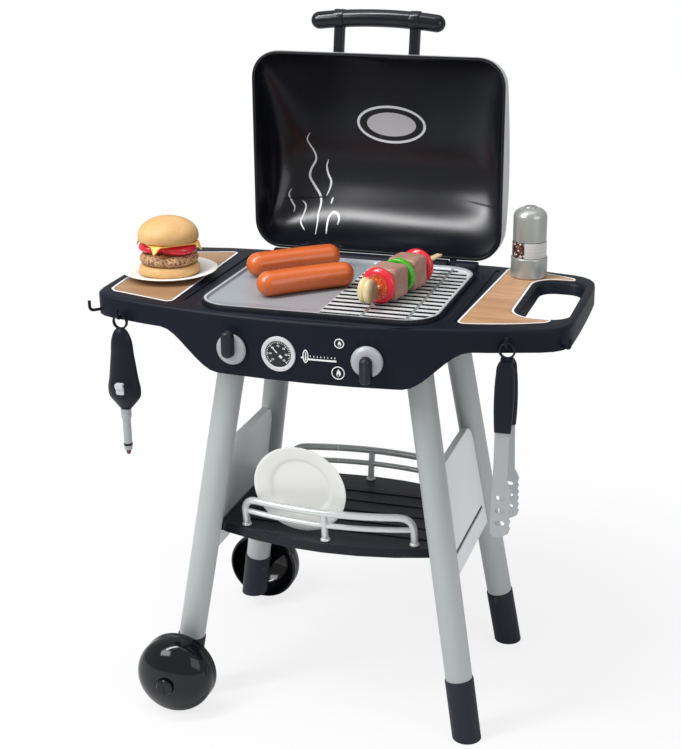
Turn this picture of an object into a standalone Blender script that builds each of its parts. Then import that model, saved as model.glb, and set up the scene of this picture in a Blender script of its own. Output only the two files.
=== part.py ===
"""Toy barbecue grill on splayed legs, with its lid, knobs, wheels, basket shelf, tools and play food.

Lengths are metres.  X runs to the right, Y to the back and Z up.  Sizes and places are laid out about
the point on the floor midway between the four feet, and the whole model is centred over the origin last.
"""

import math

import bmesh
import bpy
from mathutils import Euler, Matrix, Vector

# Fits and facets
gap = 0.0003
overrun = 0.006
weld = 0.00005
running_clearance = 0.0006
round_steps = 16
small_round_steps = 10
large_round_steps = 24

# Deck: one moulded shell, open below, with two side shelves and a fascia
deck_top_z = 0.638
deck_reach_left = 0.347
deck_reach_right = 0.354
deck_front_depth = 0.189
deck_front_bow_left = 0.054
deck_front_bow_right = 0.066
deck_back_depth = 0.173
deck_back_bow = 0.032
deck_bow_span = 0.3525
deck_end_bow = 0.003
deck_corner = 0.034
shelf_thickness = 0.032
fascia_drop = 0.088
fascia_flat_half = 0.135
fascia_sweep = 0.090
shell_wall = 0.003
back_bow_power = 4

# Lid channels moulded along both sides of the tray
channel_x = 0.1985
channel_width = 0.007
channel_depth = 0.0015
channel_front_y = -0.135
channel_back_y = 0.145

# Tray: flat griddle on the left, grate on the right
tray_half_x = 0.175
tray_front_y = -0.169
tray_back_y = 0.126
tray_corner = 0.050
tray_height = 0.007
tray_rim_width = 0.006
tray_floor = 0.0035
grate_left_x = 0.008
grate_rib_x = (0.069, 0.133)
grate_rib_width = 0.005
grate_slots = 15
grate_bar = 0.009
grate_margin = 0.004

# Handle hole in the right shelf
hole_end_margin = 0.0485
hole_centre_y = 0.012
hole_half_x = 0.0365
hole_half_y = 0.094
hole_corner = 0.028
hole_taper = 0.005
hole_depth = 0.018

# Wood-look shelf labels
label_thickness = 0.0006
label_left_end_margins = (0.021, 0.027)
label_left_inner_x = (0.213, 0.224)
label_left_outer_y = (-0.119, 0.110)
label_left_inner_y = (-0.153, 0.140)
label_right_end_margins = (0.030, 0.029)
label_right_inner_x = (0.199, 0.211)
label_right_outer_y = (-0.088, 0.112)
label_right_inner_y = (-0.140, 0.159)
label_end_bow = 0.008
label_corner = 0.012
label_hole_margin = 0.006

# Legs, foot caps and leg sockets
foot_x = 0.228
foot_y = 0.151
leg_lean_x = 0.080
leg_lean_y = 0.042
leg_lean_rise = 0.500
leg_radius = 0.020
leg_top_z = 0.590
leg_wall = 0.003
cap_length = 0.094
rolling_cap_length = 0.077
cap_radius = 0.0215
cap_wall = 0.0032
cap_floor = 0.004
rolling_foot_z = 0.025
socket_bottom_z = 0.552
socket_radius = 0.0245

# Side panels between the front and back legs
panel_bottom_z = 0.228
panel_top_z = 0.400
panel_thickness = 0.012
panel_corner = 0.026
panel_edge_round = 0.002
panel_slot_z = 0.262
panel_slot_height = 0.0062
panel_slot_half_y = 0.097

# Bottom shelf and its two rails
basket_top_z = 0.277
basket_half_x = 0.1735
basket_half_y = 0.130
basket_bow = 0.027
basket_bow_span = 0.160
basket_flare = 0.005
basket_height = 0.012
basket_wall = 0.004
basket_corner = 0.012
basket_rib_height = 0.0015
basket_rib_width = 0.012
basket_rib_half_x = 0.145
basket_ribs = 5
basket_rib_pitch = 0.036
basket_tab_thickness = 0.0034
basket_tab_web = 0.008
basket_tab_half_y = 0.094
rail_height = 0.053
rail_lean = 0.009
rail_half_x = 0.132
rail_end_y = 0.0975
rail_mid_y = 0.1175
rail_radius = 0.0055
rail_lower_radius = 0.0042
rail_lower_z = 0.026
rail_bend = 0.014
rail_foot_radius = 0.0078
rail_foot_top_radius = 0.0058
rail_foot_height = 0.004

# Wheels on the left legs
wheel_radius = 0.060
wheel_inner_y = 0.1765
wheel_rim_width = 0.019
wheel_dome = 0.040
wheel_wall = 0.004
wheel_seat_radius = 0.0145
wheel_hub_radius = 0.012
axle_radius = 0.0048
axle_head_radius = 0.0130
axle_head_height = 0.0055
axle_head_slot = 0.0026
boss_radius = 0.0115

# Lid: silver outer shell and black liner, modelled shut and swung open about the hinge
lid_half_x = 0.200
lid_length = 0.308
lid_corner = 0.042
lid_rim_height = 0.010
lid_crown = 0.0975
lid_crest_power = 1.357
lid_profile_power = 0.55
lid_side_power = 4.5
lid_ring_shares = (0.993, 0.97, 0.92, 0.83, 0.68, 0.46, 0.22, 0.02)
lid_wall = 0.002
lid_flange = 0.0025
lid_open_degrees = 91
hinge_y = 0.146
hinge_z = 0.636
lid_back_y = 0.134
lid_rest_clearance = 0.002
hinge_x = 0.125
hinge_lug_width = 0.011
hinge_lug_radius = 0.0048
hinge_pin_radius = 0.0022
hinge_slot_front = 0.015
hinge_slot_back = 0.008
hinge_boss_side = 0.006
hinge_boss_drop = 0.013

# Lid handle
grip_radius = 0.0132
grip_half_length = 0.106
grip_arch = 0.007
grip_centre_x = -0.010
grip_reach = 0.042
grip_height = 0.045
grip_radius_shares = (0.45, 0.86, 1, 1, 1, 1, 1, 1, 1, 1, 1, 0.86, 0.45)
grip_place_shares = (-1, -0.97, -0.92, -0.76, -0.57, -0.38, 0, 0.38, 0.57, 0.76, 0.92, 0.97, 1)
post_x = 0.060
post_width = 0.0175
post_depth = 0.013
post_root_back = 0.022
post_root_height = 0.030
post_round = 0.003
clamp_width = 0.0175
clamp_radius = 0.0168

# Fascia: knobs and click wheels
left_knob_x = -0.109
right_knob_x = 0.088
knob_z = 0.589
knob_radius = 0.0225
knob_thickness = 0.010
knob_chamfer = 0.005
lever_width = 0.018
lever_length = 0.040
lever_tail = 0.010
lever_height = 0.012
lever_round_share = 0.9
spindle_radius = 0.004
spindle_length = 0.014
click_radius = 0.011
click_tooth = 0.0014
click_teeth = 12
click_thickness = 0.004
pawl_width = 0.005
pawl_thickness = 0.0016
pawl_length = 0.016

# Hooks for the tools
hook_radius = 0.0024
hook_reach = 0.017
hook_tip = 0.010
hook_z = 0.612
tongs_hook_z = 0.618
lighter_end_margin = 0.057
tongs_end_margin = 0.079
tool_reach = 0.0085
ring_inner_radius = 0.0088
ring_outer_radius = 0.0116
ring_thickness = 0.005

# Lighter
lighter_top = 0.0165
lighter_length = 0.1225
lighter_half_width = 0.0240
lighter_half_depth = 0.0150
lighter_width_shares = (0.20, 0.46, 0.63, 0.78, 0.90, 1.0, 0.93, 0.58, 0.34)
lighter_drop_shares = (0.0, 0.03, 0.08, 0.34, 0.61, 0.76, 0.84, 0.93, 1.0)
button_drop = 0.104
button_recess = 0.010
button_half_width = 0.0075
button_height = 0.0095
button_proud = 0.004
button_travel = 0.005
wand_radius = 0.0060
wand_length = 0.064
wand_wall = 0.0016
flame_radius = 0.0038
flame_proud = 0.009

# Tongs
tongs_neck = 0.019
tongs_hinge_drop = 0.005
tongs_handle_length = 0.098
tongs_blade_length = 0.150
tongs_handle_thickness = 0.009
tongs_blade_thickness = 0.0032
tongs_spread_degrees = 5.5
tongs_hinge_half_gap = 0.0045
tongs_spine_half_width = 0.0085
tongs_spine_half_depth = 0.0042
tongs_spine_top = 0.016
tongs_spine_bottom = 0.029
handle_width_shares = (0.30, 0.38, 0.46, 0.50, 0.46, 0.42)
handle_depth_shares = (0.40, 0.46, 0.50, 0.50, 0.46, 0.40)
handle_drop_shares = (0.0, 0.04, 0.20, 0.50, 0.85, 1.0)
handle_width = 0.0275
handle_round_share = 0.8
blade_left = 0.0112
blade_right = 0.0165
blade_left_shares = (0.95, 0.92, 0.92, 1, 1, 0.95)
blade_left_drop_shares = (0.0, 0.08, 0.45, 0.60, 0.90, 0.97)
blade_tip_shares = (0.62, -0.10, -0.75)
blade_tip_drop_shares = (0.995, 1.0, 0.975)
blade_shank_right = 0.0100
blade_shank_drop_shares = (0.0, 0.08, 0.46, 0.52)
blade_teeth_start = 0.54
blade_teeth_end = 0.95
blade_slot_shares = (0.62, 0.74, 0.86)
blade_slot_x = 0.0018
blade_slot_half_x = 0.0068
blade_slot_half_z = 0.0034
blade_teeth = 6
blade_tooth = 0.0022
blade_point_share = 0.3
blade_slot_round_share = 0.9

# Pepper mill
mill_x = 0.249
mill_y = 0.124
mill_base_radius = 0.0275
mill_base_height = 0.031
mill_jar_radius = 0.0258
mill_jar_height = 0.023
mill_cap_radius = 0.0252
mill_cap_height = 0.052
mill_cap_dome = 0.016
mill_ridge_radius = 0.009
mill_spigot_radius = 0.012
mill_spigot_height = 0.010

# Plates
plate_radius = 0.0725
plate_well_radius = 0.045
plate_foot_radius = 0.043
plate_height = 0.0115
plate_wall = 0.0025
plate_step = 0.004
plate_ledge = 0.0065
serving_plate_end_margin = 0.073
serving_plate_y = -0.019
plate_lip = 0.002
basket_plate_x = -0.043
basket_plate_y = -0.0950
basket_plate_lean_degrees = 8

# Burger layers, from the bottom up
bun_radius = 0.046
bun_base_height = 0.017
bun_edge_share = 0.45
patty_radius = 0.0445
patty_height = 0.016
patty_edge_share = 0.35
tomato_radius = 0.0290
tomato_height = 0.0155
slice_edge_share = 0.4
tomato_spacing = 0.0160
tomato_forward = 0.004
cheese_half = 0.0380
cheese_thickness = 0.0022
cheese_droop = 0.010
cheese_cells = 8
bun_crown_height = 0.036
bun_crown_steps = 6
bun_crown_rise_share = 0.18
bun_crown_edge_share = 0.07

# Sausages
sausage_radius = 0.0182
sausage_length = 0.150
sausage_bend = 0.004
sausage_radius_shares = (0.10, 0.48, 0.80, 0.97, 1, 1, 1, 1, 1, 0.97, 0.80, 0.48, 0.10)
sausage_place_shares = (-1, -0.985, -0.93, -0.83, -0.70, -0.40, 0, 0.40, 0.70, 0.83, 0.93, 0.985, 1)
rear_sausage_x = -0.094
rear_sausage_y = 0.036
front_sausage_x = -0.042
front_sausage_y = -0.058
sausage_turn_degrees = 42

# Skewer: stick and threaded pieces, placed along the stick from the front end
skewer_x = 0.0665
skewer_y = -0.1345
skewer_turn_degrees = -12.2
skewer_height = 0.0268
stick_half_width = 0.0050
stick_half_thickness = 0.0018
stick_start = 0.012
stick_end = 0.238
mushroom_place = 0.0155
mushroom_half_length = 0.015
mushroom_radius = 0.0185
mushroom_narrow_share = 0.76
mushroom_along_shares = (-1, -0.9, -0.6, -0.2, 0.2, 0.5, 0.8, 1)
mushroom_width_shares = (0.35, 0.72, 0.95, 1, 0.92, 0.76, 0.68, 0.6)
front_slice_place = 0.0455
back_slice_place = 0.1630
slice_half_length = 0.0065
slice_radius = 0.0262
front_meat_place = 0.0735
back_meat_place = 0.1320
meat_half_length = 0.0200
meat_side = 0.0455
meat_round = 0.005
pepper_place = 0.1035
pepper_half_length = 0.0055
pepper_radius = 0.0258
pepper_wall = 0.0065
pepper_bar_half = 0.0085

# Colours: red, green and blue, then roughness and metallic
finishes = {
    "deck black": (0.028, 0.031, 0.040, 0.45, 0.0),
    "leg silver": (0.56, 0.59, 0.60, 0.38, 0.15),
    "panel silver": (0.53, 0.55, 0.58, 0.40, 0.15),
    "lid silver": (0.60, 0.61, 0.66, 0.32, 0.25),
    "lid black": (0.018, 0.019, 0.023, 0.38, 0.0),
    "cap charcoal": (0.050, 0.049, 0.058, 0.50, 0.0),
    "wheel black": (0.014, 0.015, 0.018, 0.22, 0.0),
    "tray grey": (0.40, 0.43, 0.46, 0.42, 0.25),
    "rail silver": (0.62, 0.64, 0.65, 0.30, 0.35),
    "wood print": (0.55, 0.34, 0.19, 0.50, 0.0),
    "knob grey": (0.36, 0.38, 0.40, 0.42, 0.10),
    "lever black": (0.045, 0.045, 0.052, 0.45, 0.0),
    "click plastic": (0.75, 0.75, 0.72, 0.55, 0.0),
    "pin steel": (0.60, 0.60, 0.62, 0.30, 1.0),
    "tool black": (0.030, 0.032, 0.042, 0.40, 0.0),
    "tool grey": (0.42, 0.44, 0.45, 0.42, 0.20),
    "flame red": (0.52, 0.05, 0.06, 0.35, 0.0),
    "mill silver": (0.50, 0.52, 0.50, 0.30, 0.45),
    "mill jar": (0.45, 0.42, 0.42, 0.35, 0.0),
    "plate white": (0.78, 0.78, 0.75, 0.38, 0.0),
    "bun tan": (0.72, 0.50, 0.24, 0.55, 0.0),
    "patty brown": (0.30, 0.15, 0.075, 0.70, 0.0),
    "tomato red": (0.60, 0.02, 0.04, 0.20, 0.0),
    "cheese yellow": (0.85, 0.50, 0.12, 0.40, 0.0),
    "sausage orange": (0.62, 0.19, 0.055, 0.30, 0.0),
    "stick wood": (0.78, 0.66, 0.44, 0.60, 0.0),
    "mushroom cream": (0.76, 0.68, 0.42, 0.40, 0.0),
    "meat brown": (0.27, 0.15, 0.13, 0.55, 0.0),
    "pepper green": (0.09, 0.45, 0.035, 0.25, 0.0),
}


def clear_scene():
    for item in list(bpy.data.objects):
        bpy.data.objects.remove(item, do_unlink=True)


clear_scene()
parts = bpy.data.collections.new("toy_barbecue_grill")
cutters = bpy.data.collections.new("cutters")
bpy.context.scene.collection.children.link(parts)
bpy.context.scene.collection.children.link(cutters)


def material(name):
    """Principled material from the finishes table, made once."""
    found = bpy.data.materials.get(name)
    if found:
        return found
    made = bpy.data.materials.new(name)
    made.use_nodes = True
    red, green, blue, roughness, metallic = finishes[name]
    shader = made.node_tree.nodes["Principled BSDF"]
    shader.inputs["Base Color"].default_value = (red, green, blue, 1)
    shader.inputs["Roughness"].default_value = roughness
    shader.inputs["Metallic"].default_value = metallic
    made.diffuse_color = (red, green, blue, 1)
    return made


def empty(name, location, parent=None, rotation=(0, 0, 0)):
    made = bpy.data.objects.new(name, None)
    made.location = location
    made.rotation_euler = rotation
    made.parent = parent
    parts.objects.link(made)
    return made


def finish(item, name, finish_name, parent, smooth_degrees=None):
    """Name a sub-part, give it its material and hang it on its parent empty."""
    item.name = name
    item.data.name = name
    item.data.materials.clear()
    item.data.materials.append(material(finish_name))
    item.parent = parent
    if smooth_degrees and item.type == "MESH":
        item.data.shade_smooth()
        item.data.set_sharp_from_angle(angle=math.radians(smooth_degrees))
    return item


def mesh_object(name, shape):
    bmesh.ops.recalc_face_normals(shape, faces=shape.faces)
    mesh = bpy.data.meshes.new(name)
    shape.to_mesh(mesh)
    shape.free()
    made = bpy.data.objects.new(name, mesh)
    parts.objects.link(made)
    return made


def box(name, size, centre, rotation=None):
    shape = bmesh.new()
    bmesh.ops.create_cube(shape, size=1.0)
    bmesh.ops.scale(shape, vec=size, verts=shape.verts)
    if rotation:
        bmesh.ops.rotate(shape, cent=(0, 0, 0), matrix=Euler(rotation).to_matrix(), verts=shape.verts)
    bmesh.ops.translate(shape, vec=centre, verts=shape.verts)
    return mesh_object(name, shape)


def rod(name, start, end, radius, steps=round_steps, end_radius=None):
    """Cylinder or cone between two points."""
    start, end = Vector(start), Vector(end)
    shape = bmesh.new()
    bmesh.ops.create_cone(shape, cap_ends=True, segments=steps, radius1=radius,
                          radius2=radius if end_radius is None else end_radius,
                          depth=(end - start).length)
    turn = (end - start).to_track_quat("Z", "Y").to_matrix()
    bmesh.ops.rotate(shape, cent=(0, 0, 0), matrix=turn, verts=shape.verts)
    bmesh.ops.translate(shape, vec=(start + end) / 2, verts=shape.verts)
    return mesh_object(name, shape)


def turned(name, profile, steps=round_steps, closed=False):
    """Profile of (radius, height) at +X, top to bottom down its outer side, turned about Z."""
    mesh = bpy.data.meshes.new(name)
    points = [(radius, 0, height) for radius, height in profile]
    edges = [(k, k + 1) for k in range(len(points) - 1)]
    if closed:
        edges.append((len(points) - 1, 0))
    mesh.from_pydata(points, edges, [])
    made = bpy.data.objects.new(name, mesh)
    parts.objects.link(made)
    screw = made.modifiers.new("turn", "SCREW")
    screw.steps = steps
    screw.render_steps = steps
    screw.use_merge_vertices = True
    screw.merge_threshold = weld
    return made


def flat(name, outlines, thickness):
    """Filled 2D outlines in XY, later ones holes in the first, half the thickness each way of z = 0."""
    curve = bpy.data.curves.new(name, "CURVE")
    curve.dimensions = "2D"
    curve.fill_mode = "BOTH"
    curve.extrude = thickness / 2
    for outline in outlines:
        spline = curve.splines.new("POLY")
        spline.points.add(len(outline) - 1)
        for point, corner in zip(spline.points, outline):
            point.co = (corner[0], corner[1], 0, 1)
        spline.use_cyclic_u = True
    made = bpy.data.objects.new(name, curve)
    parts.objects.link(made)
    return made


def tube(name, path, radius, roundness=2, radius_shares=None):
    """Round bar along a path of points, with filled caps."""
    curve = bpy.data.curves.new(name, "CURVE")
    curve.dimensions = "3D"
    curve.bevel_depth = radius
    curve.bevel_resolution = roundness
    curve.use_fill_caps = True
    spline = curve.splines.new("POLY")
    spline.points.add(len(path) - 1)
    for index, place in enumerate(path):
        spline.points[index].co = (*place, 1)
        if radius_shares:
            spline.points[index].radius = radius_shares[index]
    made = bpy.data.objects.new(name, curve)
    parts.objects.link(made)
    return made


def as_mesh(item):
    """Mesh copy of a curve or of an object with modifiers, welded and put in its place."""
    used = [modifier.object for modifier in item.modifiers if modifier.type == "BOOLEAN"]
    bpy.context.view_layer.update()
    evaluated = item.evaluated_get(bpy.context.evaluated_depsgraph_get())
    mesh = bpy.data.meshes.new_from_object(evaluated)
    shape = bmesh.new()
    shape.from_mesh(mesh)
    bmesh.ops.remove_doubles(shape, verts=shape.verts, dist=weld)
    bmesh.ops.transform(shape, matrix=item.matrix_world, verts=shape.verts)
    shape.to_mesh(mesh)
    shape.free()
    made = bpy.data.objects.new(item.name, mesh)
    parts.objects.link(made)
    for spent in used + [item]:
        bpy.data.objects.remove(spent, do_unlink=True)
    return made


def slab(name, outlines, low_z, high_z):
    """Flat outline raised between two heights, as a mesh."""
    made = flat(name, outlines, high_z - low_z)
    made.location.z = (low_z + high_z) / 2
    return as_mesh(made)


def upright_slab(name, outlines, low_y, high_y):
    """Outline in XZ carried along Y between two depths, as a mesh."""
    made = flat(name, outlines, high_y - low_y)
    made.rotation_euler = (math.radians(90), 0, 0)
    made.location.y = (low_y + high_y) / 2
    return as_mesh(made)


def loft(name, rings):
    """Closed skin through rings of equal point counts, with both ends capped and each quad split outwards."""
    shape = bmesh.new()
    rows = [[shape.verts.new(place) for place in ring] for ring in rings]
    count = len(rows[0])
    middle = sum((vertex.co for vertex in shape.verts), Vector()) / len(shape.verts)
    for lower, upper in zip(rows, rows[1:]):
        for k in range(count):
            following = (k + 1) % count
            quad = [lower[k], lower[following], upper[following], upper[k]]
            reach = [((quad[i].co + quad[i + 2].co) / 2 - middle).length for i in (0, 1)]
            if reach[1] > reach[0]:
                quad = quad[1:] + quad[:1]
            shape.faces.new((quad[0], quad[1], quad[2]))
            shape.faces.new((quad[0], quad[2], quad[3]))
    shape.faces.new(rows[0])
    shape.faces.new(rows[-1])
    return mesh_object(name, shape)


def combine(target, tool, operation):
    """Boolean of a tool into the target; the tool stays as a hidden cutter."""
    modifier = target.modifiers.new(operation.lower(), "BOOLEAN")
    modifier.operation = operation
    modifier.solver = "EXACT"
    modifier.object = tool
    tool.hide_render = True
    tool.display_type = "WIRE"
    for group in list(tool.users_collection):
        group.objects.unlink(tool)
    cutters.objects.link(tool)
    tool.parent = target.parent
    return target


def share_parent(target):
    """Give every cutter of a target the target's own parent."""
    for modifier in target.modifiers:
        if modifier.type == "BOOLEAN":
            modifier.object.parent = target.parent


def joined(name, items):
    """Separate solids gathered into one object."""
    shape = bmesh.new()
    for item in items:
        item = item if item.type == "MESH" and not item.modifiers else as_mesh(item)
        mesh = item.data
        mesh.transform(item.matrix_basis)
        shape.from_mesh(mesh)
        bpy.data.objects.remove(item, do_unlink=True)
    mesh = bpy.data.meshes.new(name)
    shape.to_mesh(mesh)
    shape.free()
    made = bpy.data.objects.new(name, mesh)
    parts.objects.link(made)
    return made


def bevel(item, width, segments=2, limit_degrees=40):
    modifier = item.modifiers.new("bevel", "BEVEL")
    modifier.width = width
    modifier.segments = segments
    modifier.limit_method = "ANGLE"
    modifier.angle_limit = math.radians(limit_degrees)
    return item


def arc(centre, radius, start_degrees, end_degrees, steps):
    span = end_degrees - start_degrees
    turns = [math.radians(start_degrees + span * k / steps) for k in range(steps + 1)]
    return [(centre[0] + radius * math.cos(turn), centre[1] + radius * math.sin(turn)) for turn in turns]


def circle(radius, steps=round_steps, centre=(0, 0)):
    return arc(centre, radius, 0, 360, steps)[:-1]


def ellipse(half_x, half_y, steps=round_steps, centre=(0, 0)):
    unit = circle(1, steps)
    return [(centre[0] + half_x * x, centre[1] + half_y * y) for x, y in unit]


def rounded_rectangle(half_x, half_y, radius, centre=(0, 0), steps=5, side_steps=1):
    """Rectangle with round corners, counter-clockwise from the right side."""
    corners = []
    for sign_x, sign_y, start in ((1, 1, 0), (-1, 1, 90), (-1, -1, 180), (1, -1, 270)):
        corner = (centre[0] + sign_x * (half_x - radius), centre[1] + sign_y * (half_y - radius))
        corners.append(arc(corner, radius, start, start + 90, steps))
    outline = []
    for corner, following in zip(corners, corners[1:] + corners[:1]):
        outline += corner
        start, end = Vector(corner[-1]), Vector(following[0])
        outline += [tuple(start + (end - start) * k / side_steps) for k in range(1, side_steps)]
    return outline


def rounded_loop(edges, radius, samples=6, corner_steps=4):
    """Closed outline along edges given as functions of 0 to 1, with a curve in place of each corner."""
    outline = []
    for index, edge in enumerate(edges):
        following = edges[(index + 1) % len(edges)]
        trim = radius / (edge(1) - edge(0)).length
        next_trim = radius / (following(1) - following(0)).length
        for k in range(samples + 1):
            outline.append(edge(trim + (1 - 2 * trim) * k / samples))
        before, corner, after = edge(1 - trim), edge(1), following(next_trim)
        for k in range(1, corner_steps):
            t = k / corner_steps
            outline.append((1 - t) ** 2 * before + 2 * t * (1 - t) * corner + t * t * after)
    return [tuple(point) for point in outline]


def front_bow(x):
    return deck_front_bow_left if x < 0 else deck_front_bow_right


def deck_front(x, inset=0):
    return inset - deck_front_depth + front_bow(x) * (x / deck_bow_span) ** 2


def deck_back(x, inset=0):
    return deck_back_depth - inset - deck_back_bow * (x / deck_bow_span) ** back_bow_power


def deck_slope(x):
    """Turn about Z, in radians, that faces a piece square to the bowed fascia at x."""
    return math.atan(2 * front_bow(x) * x / deck_bow_span ** 2)


def between(start, end, t):
    return start + (end - start) * t


def plan_edges(left, right, inset, left_bow, right_bow):
    """Front, right, back and left edges of a deck outline as functions of 0 to 1."""
    def front(t):
        x = between(left, right, t)
        return Vector((x, deck_front(x, inset)))

    def right_end(t):
        y = between(deck_front(right, inset), deck_back(right, inset), t)
        return Vector((right + right_bow * (1 - (2 * t - 1) ** 2), y))

    def back(t):
        x = between(right, left, t)
        return Vector((x, deck_back(x, inset)))

    def left_end(t):
        y = between(deck_back(left, inset), deck_front(left, inset), t)
        return Vector((left - left_bow * (1 - (2 * t - 1) ** 2), y))

    return [front, right_end, back, left_end]


def plan_outline(inset=0):
    """Deck seen from above."""
    edges = plan_edges(deck_end_bow + inset - deck_reach_left, deck_reach_right - inset - deck_end_bow,
                       inset, deck_end_bow, deck_end_bow)
    return rounded_loop(edges, deck_corner - inset, 10)


def smooth_step(t):
    t = min(max(t, 0), 1)
    return t * t * (3 - 2 * t)


def fascia_edge(x):
    """Height of the shell's lower edge: flat across the fascia, then sweeping up to the side shelves."""
    rise = smooth_step((abs(x) - fascia_flat_half) / fascia_sweep)
    return deck_top_z - fascia_drop + (fascia_drop - shelf_thickness) * rise


def front_outline():
    """The whole shell seen from the front."""
    steps = 8
    reach = deck_reach_left + deck_reach_right
    sweep_x = [fascia_flat_half + fascia_sweep * k / steps for k in range(steps + 1)]
    lower = [-x for x in reversed(sweep_x)] + sweep_x
    outline = [(-reach, deck_top_z - shelf_thickness)]
    outline += [(x, fascia_edge(x)) for x in lower]
    outline += [(reach, deck_top_z - shelf_thickness), (reach, deck_top_z + overrun)]
    return outline + [(-reach, deck_top_z + overrun)]


def leg_point(side, end, z):
    """Point on a leg's axis at a height; side is -1 left or 1 right, end is -1 front or 1 back."""
    share = z / leg_lean_rise
    return Vector((side * (foot_x - leg_lean_x * share), end * (foot_y - leg_lean_y * share), z))


def tray_centre_y():
    return (tray_front_y + tray_back_y) / 2


def tray_half_y():
    return (tray_back_y - tray_front_y) / 2


def hole_centre():
    return (deck_reach_right - hole_end_margin, hole_centre_y)


def hole_outline(grow, taper=0):
    return rounded_rectangle(hole_half_x + grow - taper, hole_half_y + grow - taper,
                             hole_corner + grow - taper, hole_centre())


def lighter_x():
    return lighter_end_margin - deck_reach_left


def tongs_x():
    return deck_reach_right - tongs_end_margin


def hole_block(name, grow, low_z, high_z):
    """Tapered block of the handle hole, widest at the deck's top."""
    rings = []
    for z in (low_z, high_z):
        taper = hole_taper * (deck_top_z - z) / hole_depth
        rings.append([(x, y, z) for x, y in hole_outline(grow, taper)])
    return loft(name, rings)


root = empty("grill_frame", (0, 0, 0))


def on_fascia(name, x, z, parent=root):
    """Empty on the fascia's face at x, with its -Y axis square to the face."""
    return empty(name, (x, deck_front(x), z), parent, (0, 0, deck_slope(x)))


def build_deck():
    """Moulded shell: bowed outline cut to the front profile, hollow below, with leg sockets and a hole."""
    low_z = deck_top_z - fascia_drop - overrun
    shell = slab("deck_shell", [plan_outline()], low_z, deck_top_z)
    reach_y = deck_front_depth + deck_back_depth
    combine(shell, upright_slab("fascia_profile", [front_outline()], -reach_y, reach_y), "INTERSECT")
    pocket = slab("shell_pocket", [plan_outline(shell_wall)], low_z - overrun, deck_top_z - shell_wall)
    combine(shell, pocket, "DIFFERENCE")

    sockets, bores = [], []
    for side in (-1, 1):
        for end in (-1, 1):
            mouth = leg_point(side, end, socket_bottom_z)
            head = leg_point(side, end, deck_top_z - 2 * shell_wall)
            sockets.append(rod("socket", mouth, head, socket_radius))
            bore_mouth = leg_point(side, end, socket_bottom_z - overrun)
            bore_head = leg_point(side, end, leg_top_z + gap)
            bores.append(rod("bore", bore_mouth, bore_head, leg_radius + gap))
    combine(shell, joined("leg_sockets", sockets), "UNION")

    hole_bottom = deck_top_z - hole_depth
    combine(shell, hole_block("hole_sleeve", shell_wall, hole_bottom, deck_top_z - shell_wall / 2), "UNION")
    bosses = []
    slots = []
    pin_bores = []
    slot_half = hinge_lug_width / 2 + running_clearance
    boss_half = slot_half + hinge_boss_side
    for side in (-1, 1):
        boss_depth = hinge_slot_front + hinge_slot_back + 2 * shell_wall
        boss_y = hinge_y + (hinge_slot_back - hinge_slot_front) / 2
        boss_rise = hinge_boss_drop - shell_wall / 2
        bosses.append(box("boss", (2 * boss_half, boss_depth, boss_rise),
                          (side * hinge_x, boss_y, deck_top_z - hinge_boss_drop + boss_rise / 2)))
        slots.append(box("slot", (2 * slot_half, hinge_slot_front + hinge_slot_back, 2 * hinge_boss_drop),
                         (side * hinge_x, boss_y, deck_top_z - shell_wall)))
        bore_half = boss_half + overrun
        pin_bores.append(rod("pin_bore", (side * hinge_x - bore_half, hinge_y, hinge_z),
                             (side * hinge_x + bore_half, hinge_y, hinge_z),
                             hinge_pin_radius + gap, small_round_steps))
    combine(shell, joined("hinge_bosses", bosses), "UNION")
    combine(shell, joined("hinge_slots", slots), "DIFFERENCE")
    combine(shell, joined("hinge_bores", pin_bores), "DIFFERENCE")
    combine(shell, hole_block("hole_cut", 0, hole_bottom - overrun, deck_top_z + overrun), "DIFFERENCE")
    combine(shell, joined("leg_bores", bores), "DIFFERENCE")

    channels = []
    for side in (-1, 1):
        half_y = (channel_back_y - channel_front_y) / 2
        outline = rounded_rectangle(channel_width / 2, half_y, channel_width / 2,
                                    (side * channel_x, channel_front_y + half_y), 3)
        channels.append(slab("channel", [outline], deck_top_z - channel_depth, deck_top_z + overrun))
    combine(shell, joined("lid_channels", channels), "DIFFERENCE")

    holes = []
    for x in (left_knob_x, right_knob_x):
        turn = deck_slope(x)
        face = Vector((x, deck_front(x), knob_z))
        inward = Vector((-math.sin(turn), math.cos(turn), 0))
        holes.append(rod("hole", face - inward * overrun, face + inward * (shell_wall + overrun),
                         spindle_radius + running_clearance, small_round_steps))
    combine(shell, joined("spindle_holes", holes), "DIFFERENCE")
    combine(shell, joined("click_pawls", [click_pawl(left_knob_x), click_pawl(right_knob_x)]), "UNION")
    combine(shell, joined("tool_hooks", tool_hooks()), "UNION")
    finish(shell, "deck_shell", "deck black", root)
    share_parent(shell)


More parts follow.
